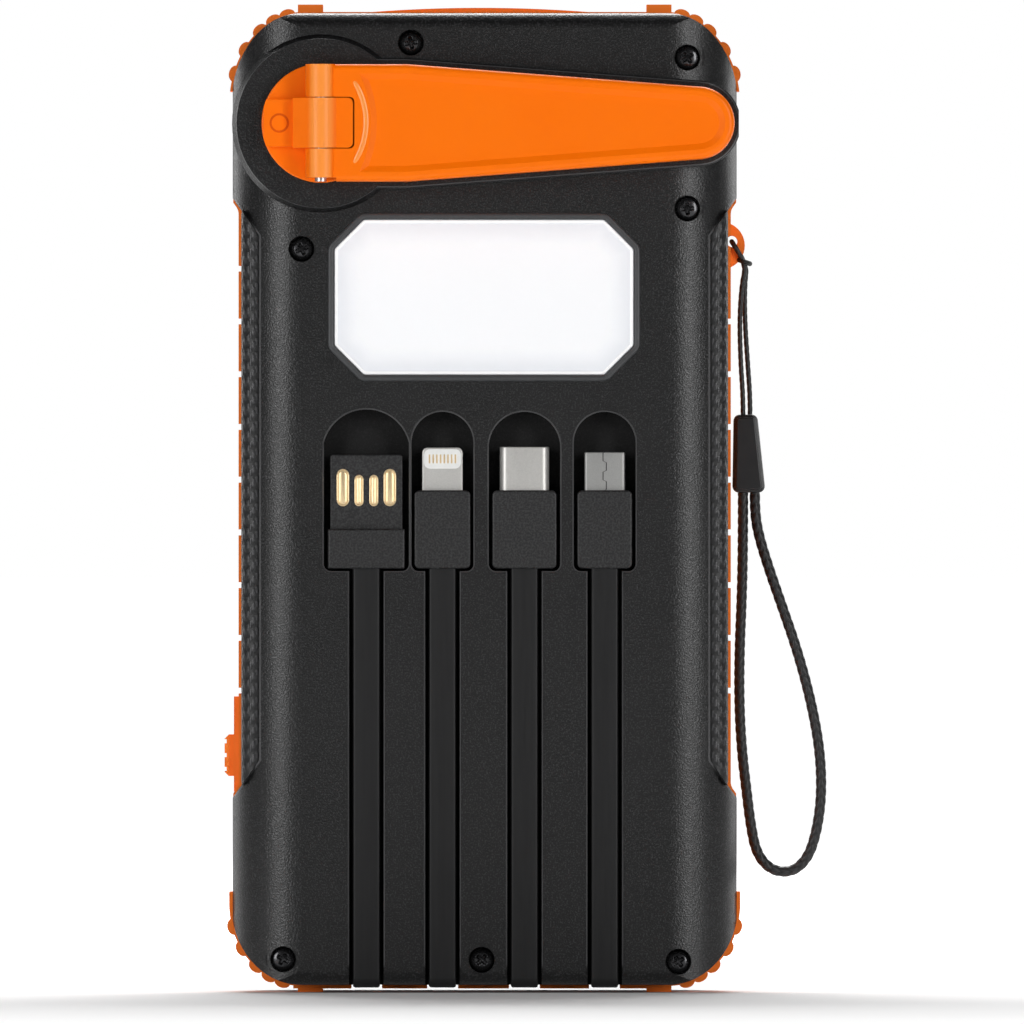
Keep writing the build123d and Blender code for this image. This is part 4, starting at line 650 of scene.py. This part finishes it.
LAMP_CUT, LAMP_RADIUS, BEZEL_WIDTH, BEZEL_CROWN = 5.6, 2.1, 1.1, 0.45
low, high = case_box("lamp_bezel")
lamp_middle = ((low[0] + high[0]) / 2, (low[2] + high[2]) / 2)
half_x, half_z = (high[0] - low[0]) / 2, (high[2] - low[2]) / 2
slant = (half_x + half_z - LAMP_CUT) / math.sqrt(2)
lamp_walls = [(0, half_x), (45, slant), (90, half_z), (135, slant),
              (180, half_x), (225, slant), (270, half_z), (315, slant)]

pot = Pot("lamp_frame")
bezel_finish = pot.finish(
    Base_Color=pot.blend(pot.noise(0.3), (0.03, 0.031, 0.033), (0.055, 0.057, 0.06)),
    Roughness=0.42 + 0.1 * pot.noise(0.5),
    Normal=pot.bump(pot.noise(0.22), 0.015),
)
t = np.linspace(0.0, math.pi, 9)
half = BEZEL_WIDTH / 2
crown = [*zip(half - half * np.cos(t), -low[1] - BEZEL_CROWN + BEZEL_CROWN * np.sin(t))]
profile = [(0.0, -high[1]), *crown, (BEZEL_WIDTH, -high[1])]
bezel_rows = stack("front", lamp_middle, lamp_walls, LAMP_RADIUS, profile)
bezel = skin("lamp_frame_ring", bezel_rows, bezel_finish, ring=True)
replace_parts(bezel, "lamp_bezel")

LIT_INSET, RIM_INSET, RIM_WIDTH = 6.0, 1.45, 0.3
SHEET_SINK, SHEET_GAP = 0.12, 0.02

pot = Pot("lamp_white")
cloud = pot.noise(16.0, 1.0)
aside, above = (pot.place("X") - lamp_middle[0]).size(), (pot.place("Z") - lamp_middle[1]).size()
inset = (half_x - aside).least(half_z - above).least(slant - (aside + above) / math.sqrt(2))
lit = pot.blend(inset.step(BEZEL_WIDTH, LIT_INSET), (0.8, 0.82, 0.86), (0.95, 0.96, 0.98))
lamp_finish = pot.finish(
    Base_Color=pot.blend(inset.line(RIM_INSET, RIM_WIDTH), lit, (1.0, 1.0, 1.0)),
    Emission_Color=(0.95, 0.97, 1.0, 1.0),
    Emission_Strength=0.06,
    Roughness=0.3 + 0.1 * cloud,
    Coat_Weight=0.3,
    Coat_Roughness=0.15,
    Normal=pot.bump(pot.noise(0.5), 0.003),
)
low, high = case_box("lamp_diffuser")
face = -low[1] - SHEET_SINK
rim = [
    (0.0, -high[1]), (0.0, face - 0.2), (0.08, face + 0.02), (0.25, face + 0.11), (0.45, face + 0.1),
    (0.62, face + 0.02), (0.75, face), (0.85, face),
]
profile = [(BEZEL_WIDTH + SHEET_GAP + inward, height) for inward, height in rim]
sheet_rows = stack("front", lamp_middle, lamp_walls, LAMP_RADIUS, profile)
sheet = skin("lamp_frosted_sheet", sheet_rows, lamp_finish, sharp=60.0)
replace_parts(sheet, "lamp_diffuser")

# ==== Leads ====
# Four short flat cables of grained black rubber, each with a moulded grip and a plug. They lie in
# their channels and swing out about their lower ends, so every piece rides on its lead's body.

CONTACT_PLACES = [(-3.95, 2.1, 6.3), (-1.25, 1.5, 5.3), (1.25, 1.5, 5.3), (3.95, 2.1, 6.3)]
CONTACT_BOTTOM = 81.9
LEAD_NAMES = ["lead_1", "lead_2", "lead_3", "lead_4"]
CABLE_CORNER, CABLE_EDGE, CABLE_HIDDEN = 1.65, 0.45, 1.2
BOARD_GRIP_CORNER, GRIP_CORNER, GRIP_EDGE = 0.25, 0.9, 0.35
TONGUE_CORNER, TIP_EDGE, TIP_HIDDEN = 0.5, 0.22, 1.0


def block_rows(node, facing, radius, edge, longer=(0.0, 0.0)):
    """Rows of a rounded block that fills a CAD node's box, made longer at its low and high end in z."""
    low, high = case_box(node)
    low, high = low - (0.0, 0.0, longer[0]), high + (0.0, 0.0, longer[1])
    middle, half = (low + high) / 2, (high - low) / 2
    front = facing == "front"
    across = 0 if front else 1
    profile = eased(-high[1], -low[1], edge) if front else eased(low[0], high[0], edge)
    return stack(facing, (middle[across], middle[2]), four_walls(half[across], half[2]), radius, profile)


# The pebbles' raised tops are coloured paler as painted glints.
pot = Pot("lead_rubber")
pebble = pot.noise(0.34, 2.0)
lead_finish = pot.finish(
    Base_Color=pot.blend(pebble.step(0.4, 0.65), (0.004, 0.004, 0.0045), (0.024, 0.024, 0.025)),
    Roughness=0.42 + 0.12 * pebble,
    Normal=pot.bump(pebble, 0.04),
)
pot = Pot("cable_rubber")
drawn = pot.noise(0.6, 2.0, (1.0, 1.0, 0.05))
cable_finish = pot.finish(
    Base_Color=pot.blend(drawn, (0.003, 0.003, 0.0035), (0.009, 0.009, 0.0095)),
    Roughness=0.46 + 0.1 * drawn,
    Specular_IOR_Level=0.35,
    Normal=pot.bump(pot.noise(0.3), 0.006),
)
for name in LEAD_NAMES:
    cable = block_rows(name + "_cable", "side", CABLE_CORNER, CABLE_EDGE, longer=(0.0, CABLE_HIDDEN))
    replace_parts(skin(name + "_flat_cable", cable, cable_finish, body=name), name + "_cable")
    radius = BOARD_GRIP_CORNER if name == "lead_1" else GRIP_CORNER
    grip = block_rows(name + "_grip", "front", radius, GRIP_EDGE)
    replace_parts(skin(name + "_moulded_grip", grip, lead_finish, body=name), name + "_grip")

# The first plug is a bare board: a black tongue with four pressed contacts.
tongue = block_rows("lead_1_tip", "front", TONGUE_CORNER, TIP_EDGE, longer=(TIP_HIDDEN, 0.0))
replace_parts(skin("lead_1_tongue", tongue, lead_finish, body="lead_1"), "lead_1_tip")

pot = Pot("contact_gold")
gold_finish = pot.finish(
    Base_Color=pot.blend(pot.noise(0.8), (0.82, 0.6, 0.32), (0.93, 0.75, 0.48)),
    Metallic=0.75,
    Roughness=0.32 + 0.1 * pot.noise(0.3),
)
low, high = case_box("lead_1_contacts")
lead_middle = (low[0] + high[0]) / 2
press = [
    (0.0, -high[1] - 0.2), (0.0, -high[1] + 0.1), (0.06, -low[1]), (0.2, -low[1]),
    (0.32, -high[1] + 0.04), (0.46, -high[1] + 0.04), (0.58, -low[1] - 0.03), (0.66, -low[1]),
]
pads = []
for offset, width, height in CONTACT_PLACES:
    middle = (lead_middle + offset, CONTACT_BOTTOM + height / 2)
    pads.append(stack("front", middle, four_walls(width / 2, height / 2), width / 2, press))
contacts = skin("lead_1_pressed_contacts", pads, gold_finish, body="lead_1")
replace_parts(contacts, "lead_1_contacts")

# ==== Plug tips ====
# The slim plug is a solid nickel blade with eight gold contacts in a white insulator. The two others
# are shells of drawn nickel: an oval one, open at its mouth, and a tapered one with a keyed seam.

INSULATOR = (6.2, 3.3, 0.55)
SLIM_CONTACTS, SLIM_PITCH, SLIM_WIDTH, SLIM_HEIGHT = 8, 0.62, 0.3, 1.5
BLADE_CORNER = 0.9
SHELL_WALL, SHELL_HIDDEN, SHELL_DEEP, FLOOR_INSET = 0.4, 1.0, 1.5, 0.05
TAB_FOOT, TAB_SHORT, TAB_EDGE = 1.0, 0.8, 0.1
SEAM_HALF_STEP, SEAM_PITCH, SEAM_WIDTH = 0.28, 3.2, 0.09

pot = Pot("plug_nickel")
brushed = pot.noise(0.25, 2.0)
nickel_finish = pot.finish(
    Base_Color=pot.blend(brushed, (0.55, 0.54, 0.52), (0.68, 0.67, 0.64)),
    Metallic=0.6,
    Roughness=0.38 + 0.1 * brushed,
    Normal=pot.bump(brushed, 0.004),
)
coat(nickel_finish, "port_a", "port_c")

blade = block_rows("lead_2_tip", "front", BLADE_CORNER, TIP_EDGE, longer=(TIP_HIDDEN, 0.0))
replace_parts(skin("lead_2_blade", blade, nickel_finish, body="lead_2"), "lead_2_tip")

pot = Pot("insulator_white")
white_finish = pot.finish(
    Base_Color=pot.blend(pot.noise(0.7), (0.8, 0.8, 0.78), (0.88, 0.88, 0.86)),
    Roughness=0.35,
)
low, high = case_box("lead_2_tip")
middle = ((low[0] + high[0]) / 2, high[2] - INSULATOR[2] / 2 - INSULATOR[1] / 2)
walls = four_walls(INSULATOR[0] / 2, INSULATOR[1] / 2)
insulator = stack("front", middle, walls, 1.0, eased(-low[1] - 0.3, -low[1] + 0.04, 0.04))
skin("lead_2_insulator", insulator, white_finish, body="lead_2")
strips = []
for index in range(SLIM_CONTACTS):
    place = (middle[0] + SLIM_PITCH * (index - (SLIM_CONTACTS - 1) / 2), middle[1])
    walls = four_walls(SLIM_WIDTH / 2, SLIM_HEIGHT / 2)
    strips.append(stack("front", place, walls, 0.1, eased(-low[1] - 0.2, -low[1] + 0.07, 0.03)))
skin("lead_2_contacts", strips, gold_finish, body="lead_2")


def open_shell(walls, radius, middle, foot, mouth, floor):
    """Rows of a plug's shell, up its outside, over its rolled rim and down inside it to its floor. The
    rim is a half circle, inset = roll (1 - cos t) and height = mouth - roll (1 - sin t)."""
    t = np.linspace(0.0, math.pi, 7)
    roll = SHELL_WALL / 2
    rim = [*zip(roll - roll * np.cos(t), mouth - roll + roll * np.sin(t))]
    inside = [(SHELL_WALL, floor), (SHELL_WALL + FLOOR_INSET, floor)]
    return stack("top", middle, walls, radius, [(0.0, foot), *rim, *inside])


low, high = case_box("lead_3_tip")
middle, half = (low + high) / 2, (high - low) / 2
foot, floor = low[2] - SHELL_HIDDEN, low[2] + SHELL_DEEP
oval = open_shell(four_walls(half[0], half[1]), half[1] - 0.02, middle[:2], foot, high[2], floor)
shell = skin("lead_3_shell", oval, nickel_finish, body="lead_3", sharp=50.0)
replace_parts(shell, "lead_3_tip")
profile = eased(low[2] + TAB_FOOT, high[2] - TAB_SHORT, TAB_EDGE)
tab = stack("top", middle[:2], four_walls(half[0] - 1.1, 0.35), TAB_EDGE, profile)
skin("lead_3_tongue", tab, lead_finish, body="lead_3")

low, high = case_box("lead_4_tip")
middle, half = (low + high) / 2, (high - low) / 2
pot = Pot("plug_seamed")
brushed = pot.noise(0.25, 2.0)
tooth = ((pot.place("Z") - high[2]) * (2 * math.pi / SEAM_PITCH)).sine() * 4.0
keyed = tooth.least(1.0).most(-1.0) * SEAM_HALF_STEP
seam = (pot.place("X") - keyed).line(middle[0], SEAM_WIDTH)
drawn_metal = pot.blend(brushed, (0.34, 0.34, 0.33), (0.44, 0.44, 0.43))
seamed_finish = pot.finish(
    Base_Color=pot.blend(seam, drawn_metal, (0.02, 0.02, 0.02)),
    Metallic=0.6,
    Roughness=0.4 + 0.1 * brushed,
    Normal=pot.bump(1.0 - seam, 0.05),
)
taper = [(8, half[0] - 0.1), (90, half[1]), (172, half[0] - 0.1), (270, half[1])]
foot, floor = low[2] - SHELL_HIDDEN, low[2] + SHELL_DEEP
tapered = open_shell(taper, 0.45, middle[:2], foot, high[2], floor)
shell = skin("lead_4_shell", tapered, seamed_finish, body="lead_4", sharp=50.0)
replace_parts(shell, "lead_4_tip")
profile = eased(low[2] + TAB_FOOT, high[2] - TAB_SHORT, TAB_EDGE)
tab = stack("top", middle[:2], four_walls(half[0] - 1.3, 0.2), TAB_EDGE, profile)
skin("lead_4_tongue", tab, lead_finish, body="lead_4")

# ==== Solar side ====
# A sealed panel of dark blue cells under clear resin, each cell with fine fingers and two broad
# bars. Above it are five clear light pipes that show the state of charge.

CELL_PITCH, CELL_GAP = 15.9, 0.9
COLUMN_PITCH, PANEL_EDGE = 33.0, 1.0
FINGER_PITCH, FINGER_WIDTH, FINGER_SHARE = 1.45, 0.12, 0.4
BAR_WIDTH, BAR_PLACES = 0.55, (0.27, 0.73)

pot = Pot("solar_cell")
low, high = case_box("solar_panel")
column = (pot.place("X") - (low[0] + PANEL_EDGE)) / COLUMN_PITCH
row = (pot.place("Z") - (low[2] + PANEL_EDGE)) / CELL_PITCH
edge_x = CELL_GAP / COLUMN_PITCH
edge_z = CELL_GAP / CELL_PITCH
across = column.part()
gap = across.line(0.0, edge_x).most(across.line(1.0, edge_x)).most(row.part().line(0.0, edge_z))
gap = gap.most(row.part().line(1.0, edge_z))
finger = ((row * (CELL_PITCH / FINGER_PITCH)).part()).line(0.5, FINGER_WIDTH / FINGER_PITCH)
half = BAR_WIDTH / COLUMN_PITCH
bar = across.line(BAR_PLACES[0], half).most(across.line(BAR_PLACES[1], half))
silicon = pot.blend(pot.noise(5.0, 3.0), (0.002, 0.005, 0.022), (0.005, 0.012, 0.055))
printed = pot.blend((finger * FINGER_SHARE).most(bar), silicon, (0.3, 0.31, 0.34))
solar_finish = pot.finish(
    Base_Color=pot.blend(gap, printed, (0.006, 0.006, 0.007)),
    Roughness=0.45,
    Specular_IOR_Level=0.2,
    Coat_Weight=0.8,
    Coat_Roughness=0.06 + 0.04 * pot.noise(3.0),
    Coat_IOR=1.5,
)
coat(solar_finish, "solar_panel")

pot = Pot("clear_pipe")
light_finish = pot.finish(
    Base_Color=pot.blend(pot.noise(0.5), (0.55, 0.58, 0.62), (0.72, 0.75, 0.78)),
    Roughness=0.12,
    Coat_Weight=0.6,
)
coat(light_finish, "charge_lights")

# ==== Gear train and generator ====
# White nylon gears on steel and brass under the plinth, and a small plated generator with enamelled
# copper windings behind the black gear plate. Seen only when the covers are off.

pot = Pot("gear_nylon")
nylon_finish = pot.finish(
    Base_Color=pot.blend(pot.noise(2.5), (0.66, 0.65, 0.6), (0.76, 0.75, 0.71)),
    Roughness=0.45 + 0.1 * pot.noise(0.8),
)
coat(nylon_finish, "drive_gear", "lay_gear", "generator_rotor")

pot = Pot("brass_bush")
brass_finish = pot.finish(
    Base_Color=pot.blend(pot.noise(1.2), (0.56, 0.38, 0.14), (0.68, 0.48, 0.2)),
    Metallic=1.0,
    Roughness=0.3 + 0.15 * pot.noise(0.4),
)
coat(brass_finish, "crank_bush")

pot = Pot("plate_plastic")
plate_finish = pot.finish(
    Base_Color=pot.blend(pot.noise(1.0), (0.018, 0.018, 0.02), (0.03, 0.03, 0.032)),
    Roughness=0.55,
    Normal=pot.bump(pot.noise(0.4), 0.01),
)
coat(plate_finish, "gear_plate")

pot = Pot("motor_can")
rolled = pot.noise(1.0, 3.0, (1.0, 0.1, 1.0))
can_finish = pot.finish(
    Base_Color=pot.blend(rolled, (0.5, 0.5, 0.49), (0.66, 0.66, 0.64)),
    Metallic=1.0,
    Roughness=0.28 + 0.15 * rolled,
)
coat(can_finish, "generator_can")

WIRE_PITCH = 0.5

# The turns are coloured darker in the valleys between them, as painted shade.
pot = Pot("copper_winding")
wound = (pot.place("Y") * (2 * math.pi / WIRE_PITCH)).sine() * 0.5 + 0.5
winding_finish = pot.finish(
    Base_Color=pot.blend(wound, (0.28, 0.09, 0.03), (0.72, 0.3, 0.13)),
    Metallic=0.8,
    Roughness=0.35,
    Normal=pot.bump(wound, 0.05),
)
coat(winding_finish, "generator_stator")

# ==== Cells and boards ====
# Two flat cells in crinkled foil, the green charging board with its printed tracks, the board of
# the side switch, and the lamp's white board dotted with yellow chips.

pot = Pot("cell_wrap")
crinkle = pot.noise(3.0, 4.0, (1.0, 1.0, 0.4))
cell_finish = pot.finish(
    Base_Color=pot.blend(crinkle, (0.42, 0.43, 0.45), (0.6, 0.61, 0.62)),
    Metallic=0.7,
    Roughness=0.36 + 0.12 * crinkle,
    Normal=pot.bump(crinkle, 0.12),
)
coat(cell_finish, "battery_cell_1", "battery_cell_2")

TRACK_PITCH, TRACK_WANDER, TRACK_WIDTH = 1.6, 6.0, 0.16
PAD_SPACING, PAD_WIDTH, PAD_SHARE = 2.5, 0.1, 0.6

pot = Pot("circuit_board")
wander = pot.noise(4.0, 1.0) * TRACK_WANDER
track = (pot.place("X") / TRACK_PITCH + wander).part().line(0.5, TRACK_WIDTH)
pad = (pot.place("Z") / (PAD_SPACING * TRACK_PITCH) - wander).part().line(0.5, PAD_WIDTH)
board_finish = pot.finish(
    Base_Color=pot.blend(track.most(pad * PAD_SHARE), (0.01, 0.09, 0.04), (0.04, 0.2, 0.1)),
    Roughness=0.3 + 0.15 * pot.noise(1.0),
    Normal=pot.bump(track, 0.03),
)
coat(board_finish, "main_board", "button_switch")

CHIP_PITCH, CHIP_WIDTH = 4.2, 1.5

pot = Pot("chip_board")
chip_x = (pot.place("X") / CHIP_PITCH).part().line(0.5, CHIP_WIDTH / CHIP_PITCH)
chip_z = (pot.place("Z") / CHIP_PITCH).part().line(0.5, CHIP_WIDTH / CHIP_PITCH)
chip_finish = pot.finish(
    Base_Color=pot.blend(chip_x * chip_z, (0.82, 0.83, 0.82), (0.85, 0.6, 0.08)),
    Roughness=0.4 + 0.1 * pot.noise(1.0),
)
coat(chip_finish, "lamp_board")

# ==== Table, light and backdrop ====
# A white table that fades into a white surround. Two tall strip lights at the front left and right
# draw the shoulders' soft grey highlights. A broad light above and behind catches the top edges, and
# two weak ones at the back light the sides.

FAR_GLOW, NEAR_GLOW = 1.0, 0.01
GLOW_START, GLOW_END = 150.0, 700.0
TABLE_HALF = 25.0

pot = Pot("white_table")
seen = pot.add("LightPath", out=0)
away = (pot.place("X") * pot.place("X") + pot.place("Y") * pot.place("Y")).maths("SQRT")
glow = seen * (away.step(GLOW_START, GLOW_END) * (FAR_GLOW - NEAR_GLOW) + NEAR_GLOW)
pot.finish(
    Base_Color=pot.blend(pot.noise(40.0), (0.86, 0.86, 0.86), (0.88, 0.88, 0.88)),
    Roughness=0.9,
    Specular_IOR_Level=0.0,
    Emission_Color=(1.0, 1.0, 1.0, 1.0),
    Emission_Strength=glow,
)
table_mesh = bpy.data.meshes.new("white_table")
signs = ((-1, -1), (1, -1), (1, 1), (-1, 1))
corners = [(side_x * TABLE_HALF, side_y * TABLE_HALF, 0.0) for side_x, side_y in signs]
table_mesh.from_pydata(corners, [], [(0, 1, 2, 3)])
table_mesh.materials.append(pot.material)
table = bpy.data.objects.new("white_table", table_mesh)
bpy.context.scene.collection.objects.link(table)

ROOM_LEVEL = 0.06

world = bpy.data.worlds.new("white_surround")
world.use_nodes = True
bpy.context.scene.world = world
nodes, links = world.node_tree.nodes, world.node_tree.links
nodes.clear()
path = nodes.new("ShaderNodeLightPath")
room = nodes.new("ShaderNodeBackground")
room.inputs["Color"].default_value = (1.0, 1.0, 1.0, 1.0)
room.inputs["Strength"].default_value = ROOM_LEVEL
white = nodes.new("ShaderNodeBackground")
white.inputs["Color"].default_value = (1.0, 1.0, 1.0, 1.0)
white.inputs["Strength"].default_value = 1.0
mix = nodes.new("ShaderNodeMixShader")
out = nodes.new("ShaderNodeOutputWorld")
links.new(path.outputs["Is Camera Ray"], mix.inputs[0])
links.new(room.outputs[0], mix.inputs[1])
links.new(white.outputs[0], mix.inputs[2])
links.new(mix.outputs[0], out.inputs[0])

CHARGER_MIDDLE = np.array((0.0, 0.0, 0.08))
STRIP_DISTANCE, STRIP_AZIMUTH = 1.0, math.radians(39.0)
STRIP_SIZE, STRIP_HEIGHT, STRIP_POWER = (0.24, 0.8), 0.2, 5.3
BACK_SIZE, BACK_POWER = (0.5, 0.5), 2.5


def softbox(name, place, size, power):
    """A rectangular area lamp at a place, turned to the charger's middle; metres and watts."""
    lamp = bpy.data.lights.new(name, "AREA")
    lamp.shape = "RECTANGLE"
    lamp.size, lamp.size_y = size
    lamp.energy = power
    stand = bpy.data.objects.new(name, lamp)
    x, y, z = CHARGER_MIDDLE - np.array(place)
    stand.location = place
    stand.rotation_euler = (math.atan2(math.hypot(x, y), -z), 0.0, math.atan2(y, x) - math.pi / 2)
    bpy.context.scene.collection.objects.link(stand)


strip_x, strip_y = STRIP_DISTANCE * math.sin(STRIP_AZIMUTH), -STRIP_DISTANCE * math.cos(STRIP_AZIMUTH)
softbox("left_strip", (-strip_x, strip_y, STRIP_HEIGHT), STRIP_SIZE, STRIP_POWER)
softbox("right_strip", (strip_x, strip_y, STRIP_HEIGHT), STRIP_SIZE, STRIP_POWER)
softbox("top_light", (0.0, 0.7, 1.0), (0.9, 0.5), 18.0)
softbox("back_left", (-0.9, 0.9, 0.3), BACK_SIZE, BACK_POWER)
softbox("back_right", (0.9, 0.9, 0.3), BACK_SIZE, BACK_POWER)

bpy.context.scene.view_settings.view_transform = "Standard"
